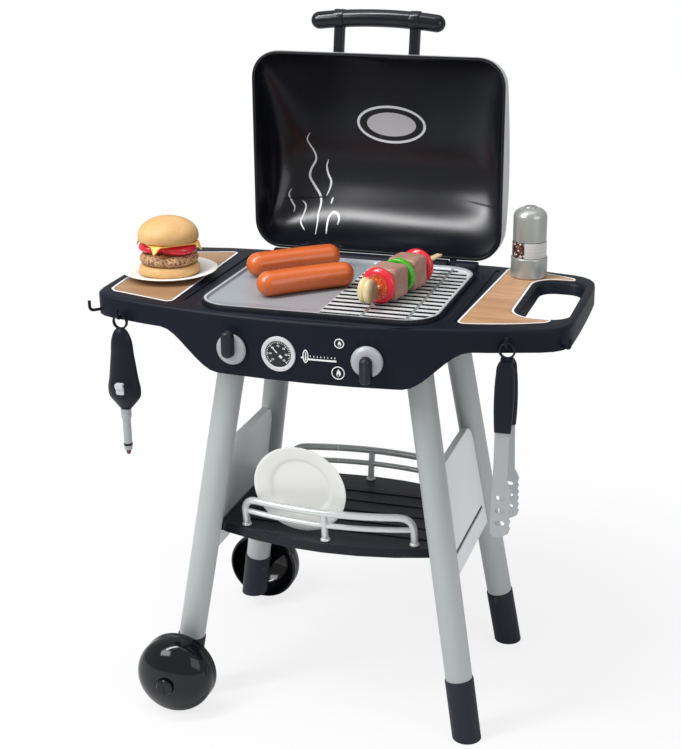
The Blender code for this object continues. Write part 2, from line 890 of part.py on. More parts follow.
def build_tray():
    """Cooking tray: raised rim, flat griddle half and slotted grate half."""
    low_z = deck_top_z + gap
    centre = (0, tray_centre_y())
    outer = rounded_rectangle(tray_half_x, tray_half_y(), tray_corner, centre, 6)
    inner = rounded_rectangle(tray_half_x - tray_rim_width, tray_half_y() - tray_rim_width,
                              tray_corner - tray_rim_width, centre, 6)
    tray = slab("cooking_tray", [outer], low_z, low_z + tray_height)
    recess = slab("tray_recess", [inner], low_z + tray_floor, low_z + tray_height + overrun)
    combine(tray, recess, "DIFFERENCE")

    right_x = tray_half_x - tray_rim_width - grate_margin
    columns = [(grate_left_x, grate_rib_x[0] - grate_rib_width / 2),
               (grate_rib_x[0] + grate_rib_width / 2, grate_rib_x[1] - grate_rib_width / 2),
               (grate_rib_x[1] + grate_rib_width / 2, right_x)]
    half_y = tray_half_y() - tray_rim_width - grate_margin
    pitch = 2 * half_y / grate_slots
    corner = tray_corner - tray_rim_width - grate_margin
    slots = []
    for row in range(grate_slots):
        y = pitch * (row + 0.5) - half_y
        edge = abs(y) + (pitch - grate_bar) / 2
        past = max(edge - (half_y - corner), 0)
        limit = right_x - corner + math.sqrt(max(corner ** 2 - past ** 2, 0))
        for low_x, high_x in columns:
            high_x = min(high_x, limit)
            slots.append(box("slot", (high_x - low_x, pitch - grate_bar, 2 * tray_height),
                             ((low_x + high_x) / 2, tray_centre_y() + y, low_z + tray_floor / 2)))
    combine(tray, joined("grate_slots", slots), "DIFFERENCE")
    finish(tray, "cooking_tray", "tray grey", root)
    share_parent(tray)


def chord(start, end, bow=0):
    """Straight or bowed edge between two points, as a function of 0 to 1."""
    start, end = Vector(start), Vector(end)
    along = (end - start).normalized()
    outward = Vector((along.y, -along.x))
    return lambda t: start + (end - start) * t + outward * bow * (1 - (2 * t - 1) ** 2)


def build_shelf_labels():
    """Wood-look labels on both shelves; the right one is cut round the handle hole."""
    low_z = deck_top_z + gap
    high_z = low_z + label_thickness
    outer, inner = label_left_end_margins, label_left_inner_x
    corners = ((outer[0] - deck_reach_left, label_left_outer_y[0]), (-inner[0], label_left_inner_y[0]),
               (-inner[1], label_left_inner_y[1]), (outer[1] - deck_reach_left, label_left_outer_y[1]))
    bows = (0, 0, 0, label_end_bow)
    edges = [chord(corners[k], corners[(k + 1) % 4], bows[k]) for k in range(4)]
    left = slab("shelf_label_left", [rounded_loop(edges, label_corner)], low_z, high_z)
    finish(left, "shelf_label_left", "wood print", root)

    outer, inner = label_right_end_margins, label_right_inner_x
    inner_front, inner_back = (inner[0], label_right_inner_y[0]), (inner[1], label_right_inner_y[1])
    front_tip = (deck_reach_right - outer[0], label_right_outer_y[0])
    back_tip = (deck_reach_right - outer[1], label_right_outer_y[1])
    radius = hole_corner + label_hole_margin
    low_x = hole_centre()[0] - hole_half_x - label_hole_margin + radius
    half_y = hole_half_y + label_hole_margin - radius
    cut = arc((low_x, hole_centre_y - half_y), radius, 270, 180, 6)
    cut += arc((low_x, hole_centre_y + half_y), radius, 180, 90, 6)
    outline = [inner_front, front_tip] + cut + [back_tip, inner_back]
    right = slab("shelf_label_right", [outline], low_z, high_z)
    finish(right, "shelf_label_right", "wood print", root)


def build_legs():
    """Four splayed tubes, each with a neck that plugs into a foot cap."""
    for side, side_name in ((-1, "left"), (1, "right")):
        for end, end_name in ((-1, "front"), (1, "back")):
            foot_z = rolling_foot_z if side < 0 else 0
            axis = (leg_point(side, end, leg_top_z) - leg_point(side, end, foot_z)).normalized()
            foot = leg_point(side, end, foot_z)
            length = (leg_point(side, end, leg_top_z) - foot).length
            cap_high = rolling_cap_length if side < 0 else cap_length
            neck_radius = cap_radius - cap_wall - gap
            profile = [(leg_radius - leg_wall, length), (leg_radius, length),
                       (leg_radius, cap_high + gap), (neck_radius, cap_high + gap),
                       (neck_radius, 2 * cap_floor + gap), (neck_radius - leg_wall, 2 * cap_floor + gap),
                       (neck_radius - leg_wall, cap_high + leg_wall),
                       (leg_radius - leg_wall, cap_high + 2 * leg_wall)]
            leg = turned("leg", profile, round_steps, closed=True)
            leg.rotation_euler = axis.to_track_quat("Z", "Y").to_euler()
            leg.location = foot
            finish(leg, f"leg_{end_name}_{side_name}", "leg silver", root)
            build_foot_cap(side, end, f"foot_cap_{end_name}_{side_name}", foot, axis, cap_high)


def build_foot_cap(side, end, name, foot, axis, cap_high):
    """Cup on the leg's end, cut level at the floor; left caps carry a boss for the wheel's axle."""
    inner = cap_radius - cap_wall
    profile = [(0, 2 * cap_floor), (inner, 2 * cap_floor), (inner, cap_high), (cap_radius, cap_high),
               (cap_radius, -cap_radius), (0, -cap_radius)]
    cap = turned("cap", profile)
    cap.rotation_euler = axis.to_track_quat("Z", "Y").to_euler()
    cap.location = foot
    cap = as_mesh(cap)
    below = 4 * cap_radius
    combine(cap, box("floor_cut", (below, below, below), (foot.x, foot.y, foot.z - below / 2)), "DIFFERENCE")
    if side < 0:
        centre = leg_point(side, end, wheel_radius)
        boss_end = Vector((centre.x, end * (wheel_inner_y - running_clearance), centre.z))
        past_end = boss_end + Vector((0, end * overrun, 0))
        combine(cap, rod("axle_boss", centre, boss_end, boss_radius, small_round_steps), "UNION")
        cavity_low, cavity_high = foot + axis * 2 * cap_floor, foot + axis * (cap_high + overrun)
        combine(cap, rod("cup_cavity", cavity_low, cavity_high, inner), "DIFFERENCE")
        combine(cap, rod("axle_bore", centre, past_end, axle_radius + gap, small_round_steps), "DIFFERENCE")
    finish(cap, name, "cap charcoal", root)
    share_parent(cap)


def panel_frame(side):
    """Turn that lays an outline's X along the world's Y and its Y up the slope of the legs."""
    lean = math.atan(leg_lean_x / leg_lean_rise)
    sine, cosine = side * math.sin(lean), math.cos(lean)
    columns = ((0, 1, 0), (-sine, 0, cosine), (cosine, 0, sine))
    return Matrix(columns).transposed().to_euler()


def build_side_panels():
    """Panels between the legs at each end, with the slot for the bottom shelf."""
    slope = math.cos(math.atan(leg_lean_x / leg_lean_rise))
    reach = leg_radius + 2 * gap
    for side, side_name in ((-1, "left"), (1, "right")):
        low_y = leg_point(side, 1, panel_bottom_z).y - reach
        high_y = leg_point(side, 1, panel_top_z).y - reach
        low, high = panel_bottom_z / slope, panel_top_z / slope
        drop_y = between(low_y, high_y, (high - panel_corner - low) / (high - low))
        outline = [(-low_y, low), (low_y, low), (drop_y, high - panel_corner)]
        shoulder = arc((high_y - panel_corner, high - panel_corner), panel_corner, 15, 90, 5)
        outline += shoulder + [(-x, y) for x, y in reversed(shoulder)] + [(-drop_y, high - panel_corner)]
        slot = rounded_rectangle(panel_slot_half_y, panel_slot_height / 2, panel_slot_height / 3,
                                 (0, panel_slot_z / slope), 2)
        panel = flat("panel", [outline, slot], panel_thickness)
        panel.rotation_euler = panel_frame(side)
        panel.location.x = side * foot_x
        panel = bevel(as_mesh(panel), panel_edge_round, 1)
        finish(panel, f"side_panel_{side_name}", "panel silver", root)


def basket_outline(inset, flare):
    """Bottom shelf seen from above; the flare pushes only its long edges out."""
    half_x = basket_half_x - inset

    def front_y(x):
        return inset - flare - basket_half_y + basket_bow * (x / basket_bow_span) ** 2

    def front(t):
        x = between(-half_x, half_x, t)
        return Vector((x, front_y(x)))

    def right_end(t):
        return Vector((half_x, between(front_y(half_x), -front_y(half_x), t)))

    def back(t):
        x = between(half_x, -half_x, t)
        return Vector((x, -front_y(x)))

    def left_end(t):
        return Vector((-half_x, between(-front_y(half_x), front_y(half_x), t)))

    return rounded_loop([front, right_end, back, left_end], basket_corner)


def build_basket_shelf():
    """Bottom shelf: flared tray turned upside down, ribs along its top and tabs into the side panels."""
    low_z = basket_top_z - basket_height
    shelf = loft("basket_shelf", [[(x, y, z) for x, y in basket_outline(0, flare)]
                                  for z, flare in ((low_z, basket_flare), (basket_top_z, 0))])
    slope = basket_flare / basket_height
    under = basket_top_z - basket_wall
    pocket = [[(x, y, z) for x, y in basket_outline(basket_wall, slope * (basket_top_z - z))]
              for z in (low_z - basket_wall, under)]
    combine(shelf, loft("shelf_pocket", pocket), "DIFFERENCE")
    ribs = []
    for row in range(basket_ribs):
        y = basket_rib_pitch * (row - (basket_ribs - 1) / 2)
        height = basket_rib_height + basket_wall / 2
        ribs.append(box("rib", (2 * basket_rib_half_x, basket_rib_width, height),
                        (0, y, basket_top_z + basket_rib_height - height / 2)))
    combine(shelf, joined("shelf_ribs", ribs), "UNION")
    tabs = []
    end = leg_point(1, 1, panel_slot_z).x + panel_thickness / 2 - basket_rib_height
    web_out = basket_half_x - basket_wall / 4
    low, high = panel_slot_z - basket_tab_thickness / 2, panel_slot_z + basket_tab_thickness / 2
    for side in (-1, 1):
        profile = [(web_out - basket_tab_web, low), (end, low), (end, high), (web_out, high),
                   (web_out, under + basket_wall / 2), (web_out - basket_tab_web, under + basket_wall / 2)]
        outline = [(side * x, z) for x, z in profile]
        tabs.append(upright_slab("tab", [outline], -basket_tab_half_y, basket_tab_half_y))
    combine(shelf, joined("shelf_tabs", tabs), "UNION")
    finish(shelf, "basket_shelf", "deck black", root)
    share_parent(shelf)


def build_rails():
    """Front and back rails: bowed top tube bent down into end posts, middle post and lower tube."""
    base_z = basket_top_z + gap

    def place(x, height, end):
        reach = rail_mid_y - (rail_mid_y - rail_end_y) * (x / rail_half_x) ** 2
        lean = rail_lean * max(height - rail_foot_height, 0) / (rail_height - rail_foot_height)
        return (x, end * (reach + lean), base_z + height)

    for end, name in ((-1, "front"), (1, "back")):
        centre_height = rail_height - rail_radius
        straight = centre_height - rail_bend
        turn_x = rail_half_x - rail_bend
        slant = rail_bend * (1 - math.sqrt(1 / 2))
        side = [place(rail_half_x, 0, end), place(rail_half_x, rail_foot_height, end),
                place(rail_half_x, straight, end),
                place(rail_half_x - slant, centre_height - slant, end), place(turn_x, centre_height, end)]
        middle = [place(turn_x * (1 - 2 * k / 6), centre_height, end) for k in range(1, 6)]
        path = side + middle + [(-x, y, z) for x, y, z in reversed(side)]
        rail = as_mesh(tube("rail", path, rail_radius))
        post = [place(0, height, end) for height in (0, rail_foot_height, centre_height)]
        combine(rail, as_mesh(tube("post", post, rail_radius)), "UNION")
        lower = [place(rail_half_x * (1 - 2 * k / 6), rail_lower_z, end) for k in range(7)]
        combine(rail, as_mesh(tube("lower_tube", lower, rail_lower_radius)), "UNION")
        feet = []
        for x in (-rail_half_x, 0, rail_half_x):
            foot_place = Vector(place(x, 0, end))
            feet.append(rod("foot", foot_place, foot_place + Vector((0, 0, rail_foot_height)),
                            rail_foot_radius, small_round_steps, rail_foot_top_radius))
        combine(rail, joined("rail_feet", feet), "UNION")
        finish(rail, f"rail_{name}", "rail silver", root, 40)
        share_parent(rail)


def build_wheels():
    """Domed hollow wheels on stub screws, standing outside the left foot caps."""
    dome_steps = 4
    bore = axle_radius + running_clearance
    for end, name in ((-1, "front"), (1, "back")):
        centre = leg_point(-1, end, wheel_radius)
        hub = empty(f"wheel_{name}_axle", (centre.x, end * wheel_inner_y, centre.z), root,
                    (math.radians(-90 * end), 0, 0))
        seat_turn = math.acos(wheel_seat_radius / wheel_radius)
        turns = [seat_turn * k / dome_steps for k in range(dome_steps, -1, -1)]
        outer = [(wheel_radius * math.cos(t), wheel_rim_width + wheel_dome * math.sin(t)) for t in turns]
        shrink = wheel_radius - wheel_wall
        inner = [(shrink * math.cos(t), wheel_rim_width + (wheel_dome - wheel_wall) * math.sin(t))
                 for t in reversed(turns)]
        seat = outer[0][1]
        edge = wheel_wall / 2
        profile = [(bore, seat)] + outer[:-1] + [(wheel_radius, wheel_rim_width), (wheel_radius, edge),
                                                 (wheel_radius - edge, 0), (shrink, 0)]
        profile += inner[:-1] + [(wheel_hub_radius, inner[-1][1]), (wheel_hub_radius, 0), (bore, 0)]
        wheel = turned(f"wheel_{name}", profile, large_round_steps, closed=True)
        finish(wheel, f"wheel_{name}", "wheel black", hub)

        head_low = seat + running_clearance
        head_high = head_low + axle_head_height
        edge = axle_head_height / 3
        inside = wheel_inner_y - (leg_point(-1, 1, wheel_radius).y + cap_radius - cap_wall + 2 * gap)
        screw = turned("wheel_screw", [(0, head_high), (axle_head_radius - edge, head_high),
                                       (axle_head_radius, head_high - edge), (axle_head_radius, head_low),
                                       (axle_radius, head_low), (axle_radius, -inside), (0, -inside)])
        screw = as_mesh(screw)
        slot = box("slot", (2 * axle_head_radius + overrun, axle_head_slot, axle_head_slot),
                   (0, 0, head_high))
        screw = as_mesh(combine(screw, slot, "DIFFERENCE"))
        screw.rotation_euler = (math.radians(-90 * end), 0, 0)
        screw.location = (centre.x, end * wheel_inner_y, centre.z)
        finish(screw, f"wheel_screw_{name}", "wheel black", root)


def lid_half_width(depth, inset):
    """Half the width of the lid's outline at a distance behind its front edge."""
    radius = lid_corner - inset
    nearest = max(min(depth, lid_length - depth) - inset, 0)
    past = max(radius - nearest, 0)
    return lid_half_x - inset - radius + math.sqrt(radius ** 2 - past ** 2)


def lid_height(x, depth, inset):
    """Height of the lid's skin over its rim: a crest over its length times rounded shoulders."""
    share = min(max((depth - inset) / (lid_length - 2 * inset), 0), 1)
    rise = max(math.sin(math.pi * share ** lid_crest_power), 0)
    shoulder = max(1 - (abs(x) / lid_half_width(depth, inset)) ** lid_side_power, 0)
    crown = lid_crown * rise ** lid_profile_power * shoulder ** (1 / lid_side_power)
    return lid_rim_height - inset + crown


def lid_place(x, depth, height):
    """Point of the shut lid about its hinge, from the distance behind its front edge and over its rim."""
    return (x, lid_back_y - lid_length + depth - hinge_y, deck_top_z + lid_rest_clearance + height - hinge_z)


def lid_outline(inset):
    return rounded_rectangle(lid_half_x - inset, lid_length / 2 - inset, lid_corner - inset,
                             (0, lid_length / 2), 4, 4)


def lid_rim(inset, height):
    return [lid_place(x, depth, height) for x, depth in lid_outline(inset)]


def lid_skin(inset):
    """Rings from the rim's edge to the middle of the lid."""
    rings = [lid_rim(inset, lid_rim_height - inset)]
    middle = lid_length / 2
    for share in lid_ring_shares:
        ring = []
        for x, depth in lid_outline(inset):
            x, depth = x * share, middle + (depth - middle) * share
            ring.append(lid_place(x, depth, lid_height(x, depth, inset)))
        rings.append(ring)
    return rings


def build_lid_shell(pivot):
    low = lid_flange + gap
    inner = lid_skin(lid_wall)
    rings = list(reversed(inner)) + [lid_rim(lid_wall, low), lid_rim(0, low)] + lid_skin(0)
    finish(loft("lid_shell", rings), "lid_shell", "lid silver", pivot, 50)


def hinge_lug(x):
    """Rounded lug with an arm up to the liner's flange, extruded along the hinge."""
    arm_end = lid_back_y - hinge_y - (2 * lid_wall + gap) / 2
    rim = deck_top_z + lid_rest_clearance - hinge_z
    outline = [(arm_end, rim + lid_flange - gap), (arm_end, rim + gap)]
    outline += arc((0, 0), hinge_lug_radius, 215, 450, 10)
    lug = flat("lug", [outline], hinge_lug_width)
    lug.rotation_euler = Matrix(((0, 1, 0), (0, 0, 1), (1, 0, 0))).transposed().to_euler()
    lug.location.x = x
    return as_mesh(lug)


def build_lid_liner(pivot):
    """Black liner with a flange under the shell's edge and two hinge lugs."""
    outer = lid_wall + gap
    inner = outer + lid_wall
    rings = list(reversed(lid_skin(inner))) + [lid_rim(inner, 0), lid_rim(0, 0), lid_rim(0, lid_flange),
                                               lid_rim(outer, lid_flange)] + lid_skin(outer)
    liner = loft("lid_liner", rings)
    combine(liner, joined("hinge_lugs", [hinge_lug(-hinge_x), hinge_lug(hinge_x)]), "UNION")
    reach = hinge_x + hinge_lug_width
    bore_radius = hinge_pin_radius + running_clearance
    bore = rod("lug_bore", (-reach, 0, 0), (reach, 0, 0), bore_radius, small_round_steps)
    combine(liner, bore, "DIFFERENCE")
    finish(liner, "lid_liner", "lid black", pivot)
    share_parent(liner)


def grip_path():
    path = []
    for share in grip_place_shares:
        bulge = grip_arch * (1 - share ** 2)
        path.append(lid_place(grip_centre_x + share * grip_half_length, -grip_reach - bulge, grip_height))
    return path


def build_lid_handle(pivot):
    """Arched grip with two clamps on posts that follow the lid's front slope."""
    handle = as_mesh(tube("lid_handle", grip_path(), grip_radius, 4, grip_radius_shares))
    bulge = grip_arch * (1 - (post_x / grip_half_length) ** 2)
    head = Vector(lid_place(grip_centre_x, -grip_reach - bulge, grip_height))
    root_point = Vector(lid_place(grip_centre_x, post_root_back, post_root_height))
    arm = root_point - head
    posts, clamps = [], []
    for side in (-1, 1):
        centre = (head + root_point) / 2 + Vector((side * post_x, 0, 0))
        post = box("post", (post_width, arm.length, post_depth), centre, (math.atan2(arm.z, arm.y), 0, 0))
        posts.append(as_mesh(bevel(post, post_round)))
        half = Vector((clamp_width / 2, 0, 0))
        clamps.append(rod("clamp", head + Vector((side * post_x, 0, 0)) - half,
                          head + Vector((side * post_x, 0, 0)) + half, clamp_radius))
    combine(handle, joined("grip_posts", posts), "UNION")
    combine(handle, joined("grip_clamps", clamps), "UNION")
    combine(handle, loft("lid_solid", [lid_rim(-gap, 0)] + lid_skin(-gap)), "DIFFERENCE")
    finish(handle, "lid_handle", "lid black", pivot, 40)
    share_parent(handle)


def build_hinge_pins():
    half = hinge_lug_width / 2 + running_clearance + hinge_boss_side - gap
    for side, name in ((-1, "hinge_pin_left"), (1, "hinge_pin_right")):
        x = side * hinge_x
        ends = ((x - half, hinge_y, hinge_z), (x + half, hinge_y, hinge_z))
        pin = rod(name, *ends, hinge_pin_radius, small_round_steps)
        finish(pin, name, "pin steel", root)


def build_lid():
    pivot = empty("lid_hinge", (0, hinge_y, hinge_z), root, (math.radians(-lid_open_degrees), 0, 0))
    build_lid_shell(pivot)
    build_lid_liner(pivot)
    build_lid_handle(pivot)
    build_hinge_pins()


def knob_dial(name, face):
    """Domed dial with its spindle, turned about the axis square to the fascia."""
    low = running_clearance
    rim = knob_radius - knob_chamfer
    top = knob_thickness
    profile = [(0, top), (rim, top), (rim + knob_chamfer * 2 / 3, top - knob_chamfer / 3),
               (knob_radius, top - knob_chamfer), (knob_radius, low), (spindle_radius, low),
               (spindle_radius, -spindle_length), (0, -spindle_length)]
    dial = turned(name, profile, round_steps)
    dial.rotation_euler = (math.radians(90), 0, 0)
    finish(dial, name, "knob grey", face)


def knob_lever(name, face, pointing):
    """Tapered finger bar across the dial, longer on the side it points to."""
    centre = (0, pointing * (lever_length / 2 - lever_tail))
    rings = []
    for height, shrink in ((0, 0), (lever_height * 2 / 3, lever_width / 12), (lever_height, lever_width / 4)):
        outline = rounded_rectangle(lever_width / 2 - shrink, lever_length / 2 - shrink,
                                    (lever_width / 2 - shrink) * lever_round_share, centre, 4)
        y = -(knob_thickness + gap + height)
        rings.append([(x, y, z) for x, z in outline])
    finish(loft(name, rings), name, "lever black", face)


def click_pawl(x):
    """Finger moulded behind the fascia, its tip just clear of the click wheel's teeth."""
    tip = click_radius + click_tooth + gap
    outline = [(-pawl_thickness / 2, tip), (pawl_thickness / 2, tip), (pawl_width / 2, tip + pawl_width),
               (pawl_width / 2, tip + pawl_length), (-pawl_width / 2, tip + pawl_length),
               (-pawl_width / 2, tip + pawl_width)]
    depth = shell_wall / 2 + running_clearance + click_thickness
    pawl = flat("pawl", [outline], depth)
    turn = deck_slope(x)
    inward = Vector((-math.sin(turn), math.cos(turn), 0))
    pawl.rotation_euler = (math.radians(90), 0, turn)
    pawl.location = Vector((x, deck_front(x), knob_z)) + inward * (shell_wall / 2 + depth / 2)
    return as_mesh(pawl)


def click_wheel(name, face):
    """Toothed wheel on the spindle behind the fascia."""
    outline = []
    for k in range(4 * click_teeth):
        radius = click_radius + (click_tooth if k % 4 < 2 else 0)
        turn = 2 * math.pi * k / (4 * click_teeth)
        outline.append((radius * math.cos(turn), radius * math.sin(turn)))
    wheel = flat(name, [outline, circle(spindle_radius + gap, small_round_steps)], click_thickness)
    wheel.rotation_euler = (math.radians(90), 0, 0)
    wheel.location.y = shell_wall + running_clearance + click_thickness / 2
    finish(wheel, name, "click plastic", face)


def build_knobs():
    """Two knobs, each with a click wheel behind the fascia."""
    for name, x, pointing in (("left", left_knob_x, 1), ("right", right_knob_x, -1)):
        face = on_fascia(f"knob_{name}_axis", x, knob_z)
        knob_dial(f"knob_dial_{name}", face)
        knob_lever(f"knob_lever_{name}", face, pointing)
        click_wheel(f"click_wheel_{name}", face)


def hook(face, outward):
    """Round peg straight out of the skirt with its end turned up."""
    outward = Vector(outward)
    bend = 2 * hook_radius
    path = [face - outward * shell_wall / 2, face + outward * (hook_reach - bend),
            face + outward * (hook_reach - bend / 3) + Vector((0, 0, bend / 3)),
            face + outward * hook_reach + Vector((0, 0, bend)),
            face + outward * hook_reach + Vector((0, 0, hook_tip + bend))]
    return as_mesh(tube("hook", path, hook_radius))


def tool_hooks():
    """Pegs on the skirt: one for each tool, and a spare on each front corner."""
    hooks = [hook(Vector((x, deck_front(x), z)), (0, -1, 0))
             for x, z in ((lighter_x(), hook_z), (tongs_x(), tongs_hook_z))]
    trim = deck_corner / 4
    for side, end_x in ((-1, deck_end_bow - deck_reach_left), (1, deck_reach_right - deck_end_bow)):
        corner = Vector((end_x - side * trim, deck_front(end_x) + trim, hook_z))
        hooks.append(hook(corner, Vector((side, -1, 0)).normalized()))
    return hooks


def tool_ring(name, drop):
    """Hanging ring, square to the peg it hangs on."""
    ring = flat(name, [circle(ring_outer_radius), circle(ring_inner_radius)], ring_thickness)
    ring.rotation_euler = (math.radians(90), 0, 0)
    ring.location.z = -drop
    return as_mesh(ring)


def ring_drop():
    return ring_inner_radius - hook_radius - gap


def build_lighter():
    """Toy lighter: ring, teardrop body, sliding button, wand and a red flame tip that peeps out."""
    peg = empty("lighter_peg", (lighter_x(), deck_front(lighter_x()) - tool_reach, hook_z), root)
    body = tool_ring("lighter_body", ring_drop())
    rings = []
    for width, drop in zip(lighter_width_shares, lighter_drop_shares):
        z = -lighter_top - lighter_length * drop
        outline = ellipse(lighter_half_width * width, lighter_half_depth * width, 20)
        rings.append([(x, y, z) for x, y in outline])
    combine(body, loft("lighter_grip", rings), "UNION")
    floor_y = button_recess - lighter_half_depth
    recess_outline = ellipse(button_half_width + running_clearance, button_height + running_clearance, 18,
                             (0, -button_drop))
    recess = upright_slab("button_recess", [recess_outline], -2 * lighter_half_depth, floor_y)
    combine(body, recess, "DIFFERENCE")
    finish(body, "lighter_body", "tool black", peg)
    share_parent(body)

    outline = ellipse(button_half_width, button_height, 18, (0, -button_drop))
    button = upright_slab("lighter_button", [outline], -lighter_half_depth - button_proud,
                          floor_y - button_travel - gap)
    finish(bevel(button, button_proud / 4, 1), "lighter_button", "tool grey", peg)

    wand_top = -lighter_top - lighter_length - gap
    inner = wand_radius - wand_wall
    collar = wand_radius + wand_wall
    profile = [(inner, wand_top), (collar, wand_top), (collar, wand_top - 2 * wand_radius),
               (wand_radius, wand_top - 3 * wand_radius), (wand_radius, wand_top - wand_length),
               (inner, wand_top - wand_length)]
    wand = turned("lighter_wand", profile, small_round_steps, closed=True)
    finish(wand, "lighter_wand", "tool grey", peg)
    low = wand_top - wand_length - flame_proud
    profile = [(0, low + wand_length / 2), (flame_radius, low + wand_length / 2),
               (flame_radius, low + flame_radius), (flame_radius * 2 / 3, low + flame_radius / 3), (0, low)]
    flame = turned("lighter_flame", profile, small_round_steps)
    finish(flame, "lighter_flame", "flame red", peg)


def build_tongs():
    """Tongs: ring with a spine, and two sprung arms, each a moulded handle and a slotted blade."""
    peg = empty("tongs_peg", (tongs_x(), deck_front(tongs_x()) - tool_reach, tongs_hook_z), root)
    ring = tool_ring("tongs_ring", ring_drop())
    spine = box("tongs_spine", (2 * tongs_spine_half_width, 2 * tongs_spine_half_depth,
                                tongs_spine_bottom - tongs_spine_top),
                (0, 0, -(tongs_spine_top + tongs_spine_bottom) / 2))
    combine(ring, spine, "UNION")
    finish(ring, "tongs_ring", "tool black", peg)
    share_parent(ring)

    hinge_drop = tongs_neck + tongs_hinge_drop
    offset = tongs_hinge_half_gap + tongs_handle_thickness / 2
    for end, name in ((-1, "front"), (1, "back")):
        arm = empty(f"tongs_arm_{name}", (0, end * offset, -hinge_drop), peg,
                    (math.radians(end * tongs_spread_degrees), 0, 0))
        rings = []
        for width, depth, drop in zip(handle_width_shares, handle_depth_shares, handle_drop_shares):
            half_x, half_y = handle_width * width, tongs_handle_thickness * depth
            z = tongs_hinge_drop - tongs_handle_length * drop
            outline = rounded_rectangle(half_x, half_y, half_y * handle_round_share, (0, 0), 3)
            rings.append([(x, y, z) for x, y in outline])
        finish(loft(f"tongs_handle_{name}", rings), f"tongs_handle_{name}", "tool black", arm)

        top = tongs_hinge_drop - tongs_handle_length - gap
        left = [(-blade_left * share, top - tongs_blade_length * drop)
                for share, drop in zip(blade_left_shares, blade_left_drop_shares)]
        tip = [(-blade_left * share, top - tongs_blade_length * drop)
               for share, drop in zip(blade_tip_shares, blade_tip_drop_shares)]
        shank = [(blade_shank_right, top - tongs_blade_length * drop) for drop in blade_shank_drop_shares[:3]]
        span = blade_teeth_end - blade_teeth_start
        teeth = [(blade_right - blade_tooth, top - tongs_blade_length * blade_shank_drop_shares[3])]
        for k in range(blade_teeth):
            point = blade_teeth_start + span * (k + blade_point_share) / blade_teeth
            notch = blade_teeth_start + span * (k + 1) / blade_teeth
            teeth.append((blade_right, top - tongs_blade_length * point))
            teeth.append((blade_right - blade_tooth, top - tongs_blade_length * notch))
        outline = left + tip + list(reversed(teeth)) + list(reversed(shank))
        slot_round = blade_slot_half_z * blade_slot_round_share
        slots = [rounded_rectangle(blade_slot_half_x, blade_slot_half_z, slot_round,
                                   (blade_slot_x, top - tongs_blade_length * share), 3)
                 for share in blade_slot_shares]
        blade = flat(f"tongs_blade_{name}", [outline] + slots, tongs_blade_thickness)
        blade.rotation_euler = (math.radians(90), 0, 0)
        finish(blade, f"tongs_blade_{name}", "tool grey", arm)


def build_mill():
    """Pepper mill: base, clear-looking jar and a twisting cap on a spigot."""
    foot = empty("mill_foot", (mill_x, mill_y, deck_top_z + label_thickness + 2 * gap), root)
    edge = mill_base_radius / 12
    base = turned("mill_base", [(0, mill_base_height), (mill_base_radius - edge, mill_base_height),
                                (mill_base_radius, mill_base_height - edge), (mill_base_radius, edge),
                                (mill_base_radius - edge, 0), (0, 0)])
    finish(base, "mill_base", "mill silver", foot)
    low = mill_base_height + gap
    high = low + mill_jar_height
    spigot_top = high + mill_spigot_height
    profile = [(0, spigot_top), (mill_spigot_radius, spigot_top), (mill_spigot_radius, high),
               (mill_jar_radius, high), (mill_jar_radius, low), (0, low)]
    finish(turned("mill_jar", profile), "mill_jar", "mill jar", foot)
    low = high + running_clearance
    top = low + mill_cap_height
    shoulder = top - mill_cap_dome
    socket = mill_spigot_radius + running_clearance
    steps = 5
    dome = []
    for k in range(1, steps + 1):
        turn = math.radians(90 * (steps - k) / steps)
        radius = mill_ridge_radius + (mill_cap_radius - mill_ridge_radius) * math.cos(turn)
        dome.append((radius, shoulder + (mill_cap_dome - edge) * math.sin(turn)))
    roof = low + mill_spigot_height + running_clearance
    profile = [(0, top), (mill_ridge_radius, top)] + dome
    profile += [(mill_cap_radius, low), (socket, low), (socket, roof), (0, roof)]
    finish(turned("mill_cap", profile), "mill_cap", "mill silver", foot)


def plate(name):
    """Shallow dish with a flat well and a raised rim."""
    profile = [(0, plate_wall), (plate_well_radius, plate_wall),
               (plate_well_radius + plate_step, plate_ledge),
               (plate_radius - plate_lip / 2, plate_height), (plate_radius, plate_height - plate_lip / 2),
               (plate_radius - plate_lip / 2, plate_height - plate_lip), (plate_foot_radius, 0), (0, 0)]
    return turned(name, profile, large_round_steps)


def build_plates():
    shelf_z = deck_top_z + label_thickness + 2 * gap
    place = (serving_plate_end_margin - deck_reach_left, serving_plate_y, shelf_z)
    serving = empty("serving_place", place, root)
    finish(plate("plate_serving"), "plate_serving", "plate white", serving)

    turn = math.radians(90 + basket_plate_lean_degrees)
    lowest = -plate_radius * math.sin(turn) + plate_height * math.cos(turn)
    stored = plate("plate_stored")
    stored.rotation_euler = (turn, 0, 0)
    stored.location = (basket_plate_x, basket_plate_y, basket_top_z + gap - lowest)
    finish(stored, "plate_stored", "plate white", root)
    return serving


def rounded_disc(radius, low, height, edge_share):
    """Profile of a disc with a rounded edge, on the axis at both ends."""
    bulge = height * edge_share
    inset = bulge * (1 - math.sqrt(1 / 2))
    high = low + height
    return [(0, high), (radius - bulge, high), (radius - inset, high - inset), (radius, high - bulge),
            (radius, low + bulge), (radius - inset, low + inset), (radius - bulge, low), (0, low)]


